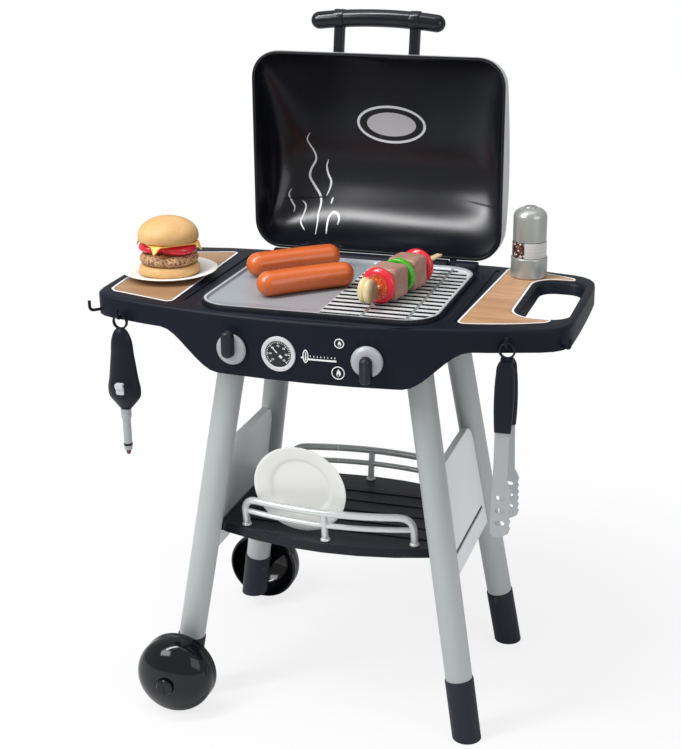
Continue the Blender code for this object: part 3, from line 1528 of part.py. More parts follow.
def build_burger(serving):
    """Burger layers stacked on the serving plate."""
    low = plate_wall + gap
    bun = turned("bun_base", rounded_disc(bun_radius, low, bun_base_height, bun_edge_share))
    finish(bun, "bun_base", "bun tan", serving)
    low += bun_base_height + gap
    patty = turned("burger_patty", rounded_disc(patty_radius, low, patty_height, patty_edge_share))
    finish(patty, "burger_patty", "patty brown", serving)
    low += patty_height + gap
    slices = []
    for side in (-1, 1):
        piece = turned("slice", rounded_disc(tomato_radius, low, tomato_height, slice_edge_share))
        piece.location = (side * tomato_spacing, -tomato_forward, 0)
        slices.append(as_mesh(piece))
    finish(combine(slices[0], slices[1], "UNION"), "burger_tomato", "tomato red", serving)
    share_parent(slices[0])
    low += tomato_height + gap

    shape = bmesh.new()
    bmesh.ops.create_grid(shape, x_segments=cheese_cells, y_segments=cheese_cells, size=cheese_half)
    for vertex in shape.verts:
        past = (vertex.co.xy.length - bun_radius) / (cheese_half * math.sqrt(2) - bun_radius)
        vertex.co.z = -cheese_droop * smooth_step(past)
    cheese = mesh_object("burger_cheese", shape)
    solid = cheese.modifiers.new("thickness", "SOLIDIFY")
    solid.thickness = cheese_thickness
    solid.offset = 1
    cheese.rotation_euler.z = math.radians(45)
    cheese.location.z = low
    finish(cheese, "burger_cheese", "cheese yellow", serving)
    low += cheese_thickness + gap

    crown = []
    for k in range(bun_crown_steps + 1):
        turn = math.radians(90 - 90 * k / bun_crown_steps)
        rise = bun_crown_rise_share + (1 - bun_crown_rise_share) * math.sin(turn)
        crown.append((bun_radius * math.cos(turn), low + bun_crown_height * rise))
    crown[0] = (0, crown[0][1])
    edge = bun_crown_height * bun_crown_edge_share
    crown += [(bun_radius, low + edge), (bun_radius - edge, low), (0, low)]
    finish(turned("bun_crown", crown), "bun_crown", "bun tan", serving)


def build_sausages():
    base = deck_top_z + gap + tray_floor + gap + sausage_radius
    for name, x, y in (("sausage_rear", rear_sausage_x, rear_sausage_y),
                       ("sausage_front", front_sausage_x, front_sausage_y)):
        path = [(share * sausage_length / 2, sausage_bend * (1 - share ** 2), 0)
                for share in sausage_place_shares]
        sausage = tube(name, path, sausage_radius, 5, sausage_radius_shares)
        sausage.location = (x, y, base)
        sausage.rotation_euler.z = math.radians(sausage_turn_degrees)
        finish(sausage, name, "sausage orange", root)


def across_stick(name, outlines, place, half_length):
    """Outline in XZ carried along the stick, centred on a place along it."""
    return upright_slab(name, outlines, place - half_length, place + half_length)


def threaded(item, name, finish_name, stick):
    """Food piece with a flat hole for the stick."""
    hole = box("stick_hole", (2 * (stick_half_width + gap), 2 * stick_end, 2 * (stick_half_thickness + gap)),
               (0, stick_start - gap + stick_end, 0))
    combine(item, hole, "DIFFERENCE")
    finish(item, name, finish_name, stick)
    share_parent(item)


def along_stick(item, place):
    item.rotation_euler = (math.radians(-90), 0, 0)
    item.location.y = place
    return as_mesh(item)


def build_skewer():
    """Flat stick through a mushroom, tomato slices, meat cubes and a pepper ring."""
    height = deck_top_z + gap + tray_floor + skewer_height
    turn = (0, 0, math.radians(skewer_turn_degrees))
    stick = empty("skewer_place", (skewer_x, skewer_y, height), root, turn)
    bar = box("skewer_stick", (2 * stick_half_width, stick_end - stick_start, 2 * stick_half_thickness),
              (0, (stick_start + stick_end) / 2, 0))
    finish(bar, "skewer_stick", "stick wood", stick)

    rings = []
    for along, width in zip(mushroom_along_shares, mushroom_width_shares):
        oval = ellipse(mushroom_radius * mushroom_narrow_share * width, mushroom_radius * width)
        rings.append([(x, mushroom_place + mushroom_half_length * along, z) for x, z in oval])
    mushroom = loft("mushroom", rings)
    threaded(mushroom, "skewer_mushroom", "mushroom cream", stick)

    pairs = (("front", front_slice_place, front_meat_place), ("back", back_slice_place, back_meat_place))
    for end_name, slice_place, meat_place in pairs:
        profile = rounded_disc(slice_radius, -slice_half_length, 2 * slice_half_length, slice_edge_share)
        tomato = along_stick(turned("slice", profile), slice_place)
        threaded(tomato, f"skewer_tomato_{end_name}", "tomato red", stick)
        cube = box("cube", (meat_side, 2 * meat_half_length, meat_side), (0, meat_place, 0))
        threaded(as_mesh(bevel(cube, meat_round)), f"skewer_meat_{end_name}", "meat brown", stick)

    inner = pepper_radius - pepper_wall
    edge_turn = math.degrees(math.asin(pepper_bar_half / inner))
    upper = arc((0, 0), inner, edge_turn, 180 - edge_turn, 8)
    lower = arc((0, 0), inner, 180 + edge_turn, 360 - edge_turn, 8)
    pepper = across_stick("pepper", [circle(pepper_radius), upper, lower], pepper_place, pepper_half_length)
    threaded(pepper, "skewer_pepper", "pepper green", stick)


build_deck()
build_tray()
build_shelf_labels()
build_legs()
build_side_panels()
build_basket_shelf()
build_rails()
build_wheels()
build_lid()
build_knobs()
build_lighter()
build_tongs()
build_mill()
build_burger(build_plates())
build_sausages()
build_skewer()


def centre_model():
    """Move the whole model so that its bounding box stands centred over the origin."""
    bpy.context.view_layer.update()
    graph = bpy.context.evaluated_depsgraph_get()
    low, high = [math.inf] * 3, [-math.inf] * 3
    for item in parts.objects:
        if item.type not in {"MESH", "CURVE"}:
            continue
        evaluated = item.evaluated_get(graph)
        mesh = evaluated.to_mesh()
        for vertex in mesh.vertices:
            place = evaluated.matrix_world @ vertex.co
            low = [min(a, b) for a, b in zip(low, place)]
            high = [max(a, b) for a, b in zip(high, place)]
        evaluated.to_mesh_clear()
    root.location = (-(low[0] + high[0]) / 2, -(low[1] + high[1]) / 2, -low[2])


centre_model()
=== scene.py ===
"""Looks of the toy barbecue grill: finer surfaces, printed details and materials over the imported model.

Lengths are metres. Layout points are measured from the floor midway between the feet, X right, Y back,
Z up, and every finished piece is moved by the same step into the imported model's frame.
"""

import math

import bmesh
import bpy
import numpy as np
from mathutils import Matrix, Vector


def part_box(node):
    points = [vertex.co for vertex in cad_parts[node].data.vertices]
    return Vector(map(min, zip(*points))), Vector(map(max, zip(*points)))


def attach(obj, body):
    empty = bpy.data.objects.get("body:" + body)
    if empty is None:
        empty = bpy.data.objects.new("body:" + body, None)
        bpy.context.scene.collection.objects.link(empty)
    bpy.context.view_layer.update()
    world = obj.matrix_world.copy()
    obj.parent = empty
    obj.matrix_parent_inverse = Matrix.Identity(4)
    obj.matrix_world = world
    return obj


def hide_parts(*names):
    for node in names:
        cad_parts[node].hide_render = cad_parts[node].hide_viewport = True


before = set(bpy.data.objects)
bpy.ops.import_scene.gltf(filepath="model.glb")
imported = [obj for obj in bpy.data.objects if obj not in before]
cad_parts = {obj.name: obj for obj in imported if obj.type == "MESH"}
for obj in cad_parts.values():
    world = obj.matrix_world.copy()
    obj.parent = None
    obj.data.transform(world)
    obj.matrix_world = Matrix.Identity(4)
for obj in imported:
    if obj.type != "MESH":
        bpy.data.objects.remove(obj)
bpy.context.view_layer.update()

deck_top, label_top = 0.638, 0.6389
deck_depth, bow_span, bow_left, bow_right = 0.189, 0.3525, 0.054, 0.066
tray_half_x, tray_half_y, tray_corner, tray_y = 0.175, 0.1475, 0.05, -0.0215
hinge = np.array([0.0, 0.146, 0.636])
lid_half_x, lid_length, lid_corner, lid_rim_height, lid_back = 0.2, 0.308, 0.042, 0.01, 0.134
lid_shape, lid_skin, lid_swing = 4.5, 0.0043, -91
wheel_radius, wheel_y, axle_z = 0.06, 0.1765, 0.06
dial_z, hook_gap = 0.589, 0.0085
mill_x, mill_y = 0.249, 0.124
gap = 0.0003
grate_top = deck_top + gap + 0.0035 + gap
slice_half, slice_cut = 0.0058, 0.0175

tray_low, tray_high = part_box("cooking_tray")
layout = np.array([(tray_low.x + tray_high.x) / 2, tray_low.y + tray_half_y - tray_y, 0.0])
layout_x, layout_y = float(layout[0]), float(layout[1])


# Curves and surfaces

def unit(vectors):
    """Vectors at a length of one."""
    return vectors / np.linalg.norm(vectors, axis=-1, keepdims=True)


def around(count):
    """Turns spread evenly over a full circle."""
    return np.linspace(0, 2 * np.pi, count, endpoint=False)


def arc(half_x, half_y, turns, centre=(0, 0)):
    """x is the half width times the cosine of the turn, y the half height times its sine."""
    return np.stack([half_x * np.cos(turns), half_y * np.sin(turns)], axis=1) + centre


def softened(points, radius, steps=4):
    """Open run of points with its inner corners rounded: each corner becomes a parabola that leaves the run
    a radius before the corner, or half a side where that is shorter, and joins it as far after."""
    points = np.asarray(points, float)
    corner, before, after = points[1:-1], points[:-2] - points[1:-1], points[2:] - points[1:-1]
    span_before = np.linalg.norm(before, axis=1, keepdims=True)
    span_after = np.linalg.norm(after, axis=1, keepdims=True)
    reach = np.minimum(radius, np.minimum(span_before, span_after) * 0.49)
    start, end = corner + before / span_before * reach, corner + after / span_after * reach
    t = np.linspace(0, 1, steps + 1)[None, :, None]
    bends = (1 - t) ** 2 * start[:, None] + 2 * t * (1 - t) * corner[:, None] + t ** 2 * end[:, None]
    return np.vstack([points[:1], bends.reshape(-1, points.shape[1]), points[-1:]])


def evenly(points, count, closed=False):
    """Points read off at equal steps of the length travelled along a run or loop."""
    points = np.asarray(points, float)
    ends = np.vstack([points, points[:1]]) if closed else points
    travelled = np.concatenate([[0], np.cumsum(np.linalg.norm(np.diff(ends, axis=0), axis=1))])
    places = np.linspace(0, travelled[-1], count, endpoint=not closed)
    return np.stack([np.interp(places, travelled, ends[:, k]) for k in range(ends.shape[1])], axis=1)


def eased(shares, values, count):
    """Smooth values through a few known ones: a cubic between neighbours with the slopes of their chords."""
    shares, values = np.asarray(shares, float), np.asarray(values, float)
    slopes = np.gradient(values, shares)
    places = np.linspace(shares[0], shares[-1], count)
    k = np.clip(np.searchsorted(shares, places, side="right") - 1, 0, len(shares) - 2)
    width = shares[k + 1] - shares[k]
    t = (places - shares[k]) / width
    made = (2 * t ** 3 - 3 * t ** 2 + 1) * values[k] + (t ** 3 - 2 * t ** 2 + t) * width * slopes[k]
    made = made + (3 * t ** 2 - 2 * t ** 3) * values[k + 1] + (t ** 3 - t ** 2) * width * slopes[k + 1]
    return places, made


def round_ended(share, half, end, radius):
    """Radius along a bar, over shares of its half length: it falls at each end as the root of one minus the
    square of the share of the end that is left."""
    past = np.clip((np.abs(share) * half - (half - end)) / end, 0, 0.9985)
    return radius * np.sqrt(1 - past ** 2)


def rounded_rectangle(half_x, half_y, radius, count, centre=(0, 0)):
    """Four quarter circles about the inner corners, joined by straight sides and read off evenly."""
    quarter = np.repeat(np.arange(4), 13)
    turn = np.radians(np.tile(np.linspace(0, 90, 13), 4) + 90 * quarter)
    corners = np.array([(1, 1), (-1, 1), (-1, -1), (1, -1)])[quarter] * (half_x - radius, half_y - radius)
    return evenly(arc(radius, radius, turn, corners) + centre, count, closed=True)


def turned(profile, steps):
    """Profile of distance from the axis and height, carried round Z: x = r cos, y = r sin."""
    radius, height = np.asarray(profile, float)[:, :1], np.asarray(profile, float)[:, 1:]
    turn = around(steps)
    return np.stack([radius * np.cos(turn), radius * np.sin(turn), height + 0 * turn], axis=2)


def swept(path, radius, steps=20, across=(0, 1, 0)):
    """Circle carried along a path: each ring is spanned by the across direction, made square to the path
    there, and by the direction square to both."""
    along = unit(np.gradient(path, axis=0))
    side = unit(across - along * (along @ across)[:, None])
    turn = around(steps)[None, :, None]
    radius = np.broadcast_to(np.asarray(radius, float), len(path))[:, None, None]
    return path[:, None] + radius * (np.cos(turn) * side[:, None] + np.sin(turn) * np.cross(along, side)[:, None])


def facing(direction):
    """Turn that takes Z to a direction: its columns are two directions square to it, and itself."""
    z = unit(direction)
    x = unit(np.cross((0, 0, 1) if abs(z[2]) < 0.9 else (1, 0, 0), z))
    return np.stack([x, np.cross(z, x), z], axis=1)


def about_z(degrees):
    """Turn about Z, counted anticlockwise from above."""
    c, s = math.cos(math.radians(degrees)), math.sin(math.radians(degrees))
    return np.array([[c, -s, 0], [s, c, 0], [0, 0, 1.0]])


def about_x(degrees):
    """Turn about X: the one about Z with each axis moved on to the next."""
    return np.roll(about_z(degrees), 1, (0, 1))


def toward(degrees):
    """Flat direction at a turn."""
    return about_z(degrees)[:2, 0]


def placed(points, turn=None, at=(0, 0, 0)):
    """Points turned by a matrix and moved."""
    points = np.asarray(points, float)
    return (points if turn is None else points @ np.asarray(turn, float).T) + np.asarray(at, float)


def stacked(loop, levels, grows=1.0, middle=(0, 0)):
    """Copies of a flat loop at heights, each grown about a point by its own share."""
    levels, grows = np.broadcast_arrays(np.asarray(levels, float), grows)
    grown = (loop - np.asarray(middle, float)) * grows[:, None, None] + middle
    return np.concatenate([grown, np.broadcast_to(levels[:, None, None], (*grown.shape[:2], 1))], axis=2)


def drum(radius, start, end, edge, steps=3):
    """Profile of a cylinder from the middle of one end to that of the other, with rounded edges."""
    return softened([(0, start), (radius, start), (radius, end), (0, end)], edge, steps)


# Making pieces

def skin(grid, hollow=False, open_ends=False):
    """Grid of points closed round its columns: quads between neighbours, and a face over each end. The last row
    of a hollow one joins the first instead."""
    rows, columns = grid.shape[:2]
    index = np.arange(rows * columns).reshape(rows, columns)
    low = index if hollow else index[:-1]
    high = np.roll(index, -1, axis=0) if hollow else index[1:]
    quads = np.stack([low, np.roll(low, -1, 1), np.roll(high, -1, 1), high], axis=2).reshape(-1, 4).tolist()
    if not (hollow or open_ends):
        quads += [index[0, ::-1].tolist(), index[-1].tolist()]
    return grid.reshape(-1, 3), quads


def leaf(grid):
    """Open grid of points: quads between neighbours both ways."""
    rows, columns = grid.shape[:2]
    index = np.arange(rows * columns).reshape(rows, columns)
    quads = np.stack([index[:-1, :-1], index[:-1, 1:], index[1:, 1:], index[1:, :-1]], axis=2)
    return grid.reshape(-1, 3), quads.reshape(-1, 4).tolist()


def lathe(profile, steps, at=(0, 0, 0), turn=None, hollow=False):
    """Profile carried round Z, then turned and put in its place."""
    return skin(placed(turned(profile, steps), turn, at), hollow)


def banded(outer, inner, low, high, lay):
    """Flat band between two loops, with its thickness: lay puts a loop at a height of its surface."""
    rows = [lay(loop, height) for loop, height in ((outer, low), (outer, high), (inner, high), (inner, low))]
    return skin(np.stack(rows), hollow=True)


def linked(name, data):
    """New object of the scene."""
    made = bpy.data.objects.new(name, data)
    bpy.context.scene.collection.objects.link(made)
    return made


def finished(mesh, work, smooth):
    """Mesh filled from the worked one, smooth but for edges sharper than some degrees."""
    for face in work.faces:
        face.smooth = True
    work.to_mesh(mesh)
    work.free()
    mesh.set_sharp_from_angle(angle=math.radians(smooth))


def piece(name, shapes, finish, body="frame", node="", smooth=38, closed=True):
    """One object from one shape or a list of them, riding on a body and standing for a CAD node."""
    points, faces, count = [], [], 0
    for shape_points, shape_faces in shapes if isinstance(shapes, list) else [shapes]:
        points.append(shape_points)
        faces += [[k + count for k in face] for face in shape_faces]
        count += len(shape_points)
    mesh = bpy.data.meshes.new(name)
    mesh.from_pydata((np.vstack(points) + layout).tolist(), [], faces)
    mesh.materials.append(finishes[finish])
    work = bmesh.new()
    work.from_mesh(mesh)
    bmesh.ops.remove_doubles(work, verts=work.verts, dist=0.000002)
    bmesh.ops.dissolve_degenerate(work, edges=work.edges, dist=0.000001)
    if closed:
        bmesh.ops.recalc_face_normals(work, faces=work.faces)
    finished(mesh, work, smooth)
    made = linked(name, mesh)
    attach(made, body)
    if node:
        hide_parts(node)


def edged(node, name, finish, body, width, limit, smooth):
    """Copy of a CAD node, merged and with its edges rounded by a bevel."""
    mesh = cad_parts[node].data.copy()
    mesh.materials.clear()
    mesh.materials.append(finishes[finish])
    work = bmesh.new()
    work.from_mesh(mesh)
    bmesh.ops.remove_doubles(work, verts=work.verts, dist=0.00001)
    bmesh.ops.dissolve_limit(work, angle_limit=math.radians(0.6), verts=work.verts, edges=work.edges)
    bmesh.ops.recalc_face_normals(work, faces=work.faces)
    for face in work.faces:
        face.material_index = 0
    finished(mesh, work, smooth)
    made = linked(name, mesh)
    bevel = made.modifiers.new("rounded edges", "BEVEL")
    bevel.width, bevel.segments, bevel.limit_method, bevel.angle_limit = width, 2, "ANGLE", math.radians(limit)
    bevel.harden_normals = True
    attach(made, body)
    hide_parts(node)
    return made


def repainted(node, finish):
    """CAD node with its mesh kept and its finish changed."""
    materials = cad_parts[node].data.materials
    materials.clear()
    materials.append(finishes[finish])


# Shader helpers: each makes a node in the tree of the outputs that feed it

def feed(node, entries):
    """Inputs of a node, by name or number, each joined to an output or given a plain value."""
    for key, value in entries.items():
        if isinstance(value, bpy.types.NodeSocket):
            node.id_data.links.new(value, node.inputs[key])
        else:
            node.inputs[key].default_value = value
    return node


def add(tree, kind, entries={}, **settings):
    """Node with its settings and its inputs fed."""
    made = tree.nodes.new("ShaderNode" + kind)
    for key, value in settings.items():
        setattr(made, key, value)
    return feed(made, entries)


def maths(operation, first, second=0.0, clamp=False):
    """Sum, product or other reckoning of outputs and numbers."""
    tree = (first if isinstance(first, bpy.types.NodeSocket) else second).id_data
    return add(tree, "Math", {0: first, 1: second}, operation=operation, use_clamp=clamp).outputs[0]


def mixed(share, first, second):
    return add(share.id_data, "Mix", {0: share, 6: first, 7: second}, data_type="RGBA").outputs[2]


def noise(place, scale, detail=2.0, stretch=None, roughness=0.5):
    """Noise at a place, which a stretch scales by its own factor each way."""
    if stretch:
        place = add(place.id_data, "Mapping", {"Vector": place, "Scale": stretch}).outputs["Vector"]
    entries = {"Vector": place, "Scale": scale, "Detail": detail, "Roughness": roughness}
    return add(place.id_data, "TexNoise", entries).outputs["Fac"]


def cells(place, scale, feature="F1"):
    return add(place.id_data, "TexVoronoi", {"Vector": place, "Scale": scale}, feature=feature).outputs


def ranged(value, low, high, to_low=0.0, to_high=1.0):
    """Smooth step from one value to another between a low and a high place."""
    entries = {"Value": value, "From Min": low, "From Max": high, "To Min": to_low, "To Max": to_high}
    return add(value.id_data, "MapRange", entries, interpolation_type="SMOOTHSTEP").outputs["Result"]


def bumped(height, strength, distance):
    return add(height.id_data, "Bump", {"Height": height, "Strength": strength, "Distance": distance}).outputs["Normal"]


def object_place(tree):
    """Object coordinates, and their three parts."""
    place = add(tree, "TexCoord").outputs["Object"]
    return place, add(tree, "SeparateXYZ", {"Vector": place}).outputs


def new_group(name, values, results):
    """Node group with named inputs and outputs, and its Object coordinates."""
    group = bpy.data.node_groups.new(name, "ShaderNodeTree")
    for entry, value in values.items():
        kind = "NodeSocketColor" if isinstance(value, tuple) else "NodeSocketFloat"
        group.interface.new_socket(name=entry, in_out="INPUT", socket_type=kind).default_value = value
    for entry, kind in results.items():
        group.interface.new_socket(name=entry, in_out="OUTPUT", socket_type="NodeSocket" + kind)
    place = add(group, "TexCoord").outputs["Object"]
    return group, place, group.nodes.new("NodeGroupInput").outputs, group.nodes.new("NodeGroupOutput")


def moulded_group():
    """Moulded plastic: soft mottling of the colour, a fine grain in the surface and a few faint scuffs."""
    group, place, given, result = new_group(
        "moulded plastic", {"Color": (0.5, 0.5, 0.5, 1), "Mottling": 0.08, "Roughness": 0.4, "Grain Size": 900.0,
                            "Grain Height": 0.1, "Scuffs": 0.2},
        {"Color": "Color", "Roughness": "Float", "Normal": "Vector"})
    scuff = maths("ADD", ranged(noise(place, 90.0, 1.0, (1.0, 1.0, 0.07)), 0.7, 0.76),
                  ranged(noise(place, 80.0, 1.0, (0.06, 1.0, 1.0)), 0.71, 0.77))
    scuff = maths("MULTIPLY", scuff, given["Scuffs"])
    shade = maths("MULTIPLY", maths("SUBTRACT", noise(place, 9.0, 3.0), 0.5), given["Mottling"])
    value = maths("ADD", maths("MULTIPLY", shade, 2.0), 1.0)
    lit = add(group, "HueSaturation", {"Color": given["Color"], "Value": value})
    gloss = maths("ADD", given["Roughness"], maths("MULTIPLY", shade, 0.9))
    feed(result, {"Color": mixed(maths("MULTIPLY", scuff, 0.25, True), lit.outputs["Color"], (0.6, 0.6, 0.62, 1)),
                  "Roughness": maths("ADD", gloss, maths("MULTIPLY", scuff, 0.22), True),
                  "Normal": bumped(noise(place, given["Grain Size"]), given["Grain Height"], 0.0004)})
    return group


def crumb_group():
    """Baked or minced surface: rounded cells stand up from darker gaps, over a broad change of colour."""
    group, place, given, result = new_group(
        "crumb", {"Light": (0.6, 0.4, 0.2, 1), "Dark": (0.2, 0.1, 0.05, 1), "Cell Size": 300.0, "Height": 0.5,
                  "Broad Share": 0.3}, {"Color": "Color", "Normal": "Vector"})
    gaps = cells(place, given["Cell Size"], "SMOOTH_F1")["Distance"]
    broad = maths("MULTIPLY", ranged(noise(place, 28.0, 3.0), 0.38, 0.68), given["Broad Share"])
    share = maths("ADD", ranged(gaps, 0.15, 0.75), broad, True)
    feed(result, {"Color": mixed(share, given["Light"], given["Dark"]),
                  "Normal": bumped(maths("SUBTRACT", 1.0, gaps), given["Height"], 0.0012)})
    return group


moulded, crumb, finishes = moulded_group(), crumb_group(), {}


# Materials, each kept in finishes under its name

def new_material(name, **values):
    """Shader and tree of a new material, its shader given some plain values."""
    made = finishes[name] = bpy.data.materials.new(name)
    made.use_nodes = True
    shader = made.node_tree.nodes["Principled BSDF"]
    return feed(shader, {key.replace("_", " "): value for key, value in values.items()}), made.node_tree


def rgba(color):
    """Colour that hides what is behind it."""
    return (*(float(part) for part in color), 1.0)


def mould(shader, color, roughness, mottling, grain, height, scuffs):
    """Shader fed with the colour, roughness and normal of the moulded group."""
    entries = {"Color": color, "Mottling": mottling, "Roughness": roughness, "Grain Size": grain,
               "Grain Height": height, "Scuffs": scuffs}
    made = add(shader.id_data, "Group", entries, node_tree=moulded).outputs
    feed(shader, {"Base Color": made["Color"], "Roughness": made["Roughness"], "Normal": made["Normal"]})
    return made["Color"]


def plastic(name, color, roughness, mottling=0.05, grain=1100.0, height=0.1, scuffs=0.2, specular=0.5, metallic=0.0,
            coat=0.0):
    """Moulded plastic in one colour."""
    shader = new_material(name, Metallic=metallic, Coat_Weight=coat, Coat_Roughness=0.08,
                          Specular_IOR_Level=specular)[0]
    mould(shader, rgba(color), roughness, mottling, grain, height, scuffs)


def crumbly(name, light, dark, size, height, broad, roughness):
    """Play food with a baked, minced or spongy surface."""
    shader, tree = new_material(name, Roughness=roughness)
    entries = {"Light": rgba(light), "Dark": rgba(dark), "Cell Size": size, "Height": height, "Broad Share": broad}
    made = add(tree, "Group", entries, node_tree=crumb).outputs
    feed(shader, {"Base Color": made["Color"], "Normal": made["Normal"]})


def wood_print(name, strength):
    """Printed wood: long wandering grain lines along the shelf with a few darker streaks, under a satin film. The
    strength scales its colours, and the left label's weaker copy is painted shade.
    """
    shader, tree = new_material(name)
    place = add(tree, "TexCoord").outputs["Object"]
    grain = maths("ADD", noise(place, 60.0, 4.0, (0.14, 1.6, 1.0), 0.6), maths("MULTIPLY", noise(place, 7.0), 0.3))
    color = mixed(ranged(noise(place, 14.0, 3.0, (0.18, 1.8, 1.0)), 0.3, 0.7),
                  rgba(strength * np.array((0.46, 0.255, 0.125))), rgba(strength * np.array((0.62, 0.365, 0.195))))
    color = mixed(maths("MULTIPLY", ranged(grain, 0.45, 0.88), 0.5), color, (0.33, 0.165, 0.075, 1))
    mould(shader, color, 0.42, 0.06, 700.0, 0.05, 0.3)


def pepper_jar():
    """Jar band: peppercorns on one half, each cell its own shade, and a pale label with faint lines on the other."""
    shader, tree = new_material("pepper jar", Roughness=0.32, Coat_Weight=0.3)
    place, apart = object_place(tree)
    corns = cells(place, 330.0)
    tone = add(tree, "SeparateColor", {"Color": corns["Color"]}).outputs
    corn = mixed(ranged(tone["Green"], 0.35, 0.75), (0.03, 0.014, 0.012, 1), (0.3, 0.075, 0.05, 1))
    corn = mixed(ranged(tone["Red"], 0.6, 0.72), corn, (0.78, 0.68, 0.62, 1))
    corn = mixed(ranged(corns["Distance"], 0.38, 0.62), corn, (0.02, 0.012, 0.011, 1))
    rows = maths("FRACT", maths("MULTIPLY", apart["Z"], 160.0))
    line = maths("MULTIPLY", maths("DIVIDE", maths("SUBTRACT", rows, 0.62), 0.06, True),
                 maths("DIVIDE", maths("SUBTRACT", 0.86, rows), 0.06, True))
    label = mixed(maths("MULTIPLY", line, 0.16), (0.58, 0.58, 0.58, 1), (0.27, 0.26, 0.27, 1))
    side = ranged(apart["X"], mill_x + layout_x - 0.0035, mill_x + layout_x - 0.0022)
    feed(shader, {"Base Color": mixed(side, corn, label)})


def tomato_slice(name, centre=None, axis=None):
    """Tomato: glossy red skin. With a centre and an axis, points that lie far enough along the axis and near
    enough to it are the cut face, which is orange red with pale seeds."""
    shader, tree = new_material(name, Roughness=0.2, Coat_Weight=0.35)
    place = add(tree, "TexCoord").outputs["Object"]
    color = mixed(noise(place, 60.0), (0.66, 0.01, 0.028, 1), (0.74, 0.02, 0.04, 1))
    if centre is not None:
        away = add(tree, "VectorMath", {0: place, 1: centre}, operation="SUBTRACT").outputs["Vector"]
        along = add(tree, "VectorMath", {0: away, 1: axis}, operation="DOT_PRODUCT").outputs["Value"]
        reach = add(tree, "VectorMath", {0: away}, operation="LENGTH").outputs["Value"]
        flat = ranged(maths("ABSOLUTE", along), slice_half - 0.0012, slice_half - 0.0004)
        inner = ranged(reach, slice_cut, slice_cut + 0.002, 1.0, 0.0)
        seeds = ranged(cells(place, 420.0)["Distance"], 0.18, 0.45, 1.0, 0.0)
        flesh = mixed(seeds, (0.6, 0.055, 0.018, 1), (0.86, 0.34, 0.13, 1))
        color = mixed(maths("MULTIPLY", flat, inner), color, flesh)
    feed(shader, {"Base Color": color, "Normal": bumped(noise(place, 70.0), 0.12, 0.0004)})


def mushroom_flesh(left_x, right_x):
    """Cream flesh that turns dark brown from the left place to the right."""
    shader, tree = new_material("mushroom flesh")
    color = mixed(ranged(object_place(tree)[1]["X"], left_x, right_x), (0.74, 0.6, 0.34, 1), (0.23, 0.125, 0.065, 1))
    mould(shader, color, 0.36, 0.16, 350.0, 0.14, 0.0)


def tray_paint():
    """Satin grey tray: brighter bars and rim, darker cross ribs, and near black outside the rim. The bars' lighter
    colour is painted highlight, for light catching the rounded bars, and the slot walls are near black as painted
    shade. The distance to the rounded outline is the length of what passes the inner rectangle, less the corner's
    radius."""
    shader, tree = new_material("tray silver", Metallic=0.15)
    apart = object_place(tree)[1]
    squares = []
    for axis, middle, half in (("X", layout_x, tray_half_x), ("Y", layout_y + tray_y, tray_half_y)):
        past = maths("SUBTRACT", maths("ABSOLUTE", maths("SUBTRACT", apart[axis], middle)), half - tray_corner)
        squares.append(maths("POWER", maths("MAXIMUM", past), 2.0))
    outside = ranged(maths("SQRT", maths("ADD", *squares)), 0.0468, 0.0474)
    # Slot walls below the grate's top: painted shade, near black.
    slot_wall_shade = ranged(apart["Z"], 0.64115, 0.64145, 1.0, 0.0)
    floor_level = ranged(apart["Z"], 0.6421, 0.6425, 1.0, 0.0)
    # Grate half: its bars get a lighter colour as painted highlight of the rounded bars catching the light.
    bar_highlight_share = ranged(apart["X"], layout_x + 0.0065, layout_x + 0.008)
    flat = mixed(bar_highlight_share, (0.33, 0.355, 0.385, 1), (0.72, 0.75, 0.76, 1))
    ribs = [ranged(maths("ABSOLUTE", maths("SUBTRACT", apart["X"], layout_x + rib)), 0.0022, 0.003, 1.0, 0.0)
            for rib in (0.069, 0.133)]
    flat = mixed(maths("MAXIMUM", *ribs), flat, (0.24, 0.27, 0.26, 1))
    color = mixed(floor_level, (0.5, 0.53, 0.56, 1), flat)
    # Near black for the painted shade on the slot walls and for the dark surround outside the rim.
    color = mixed(maths("MAXIMUM", slot_wall_shade, outside), color, (0.01, 0.012, 0.018, 1))
    mould(shader, color, 0.34, 0.06, 1200.0, 0.06, 0.3)


def mill_silver():
    """Metallised plastic with a very fine upright brushing."""
    shader, tree = new_material("mill silver", Metallic=0.55)
    brush = noise(add(tree, "TexCoord").outputs["Object"], 420.0, 2.0, (1.0, 1.0, 0.03))
    color = mould(shader, (0.46, 0.48, 0.46, 1), 0.3, 0.05, 800.0, 0.04, 0.2)
    feed(shader, {"Base Color": mixed(maths("MULTIPLY", brush, 0.28), color, (0.26, 0.28, 0.27, 1))})


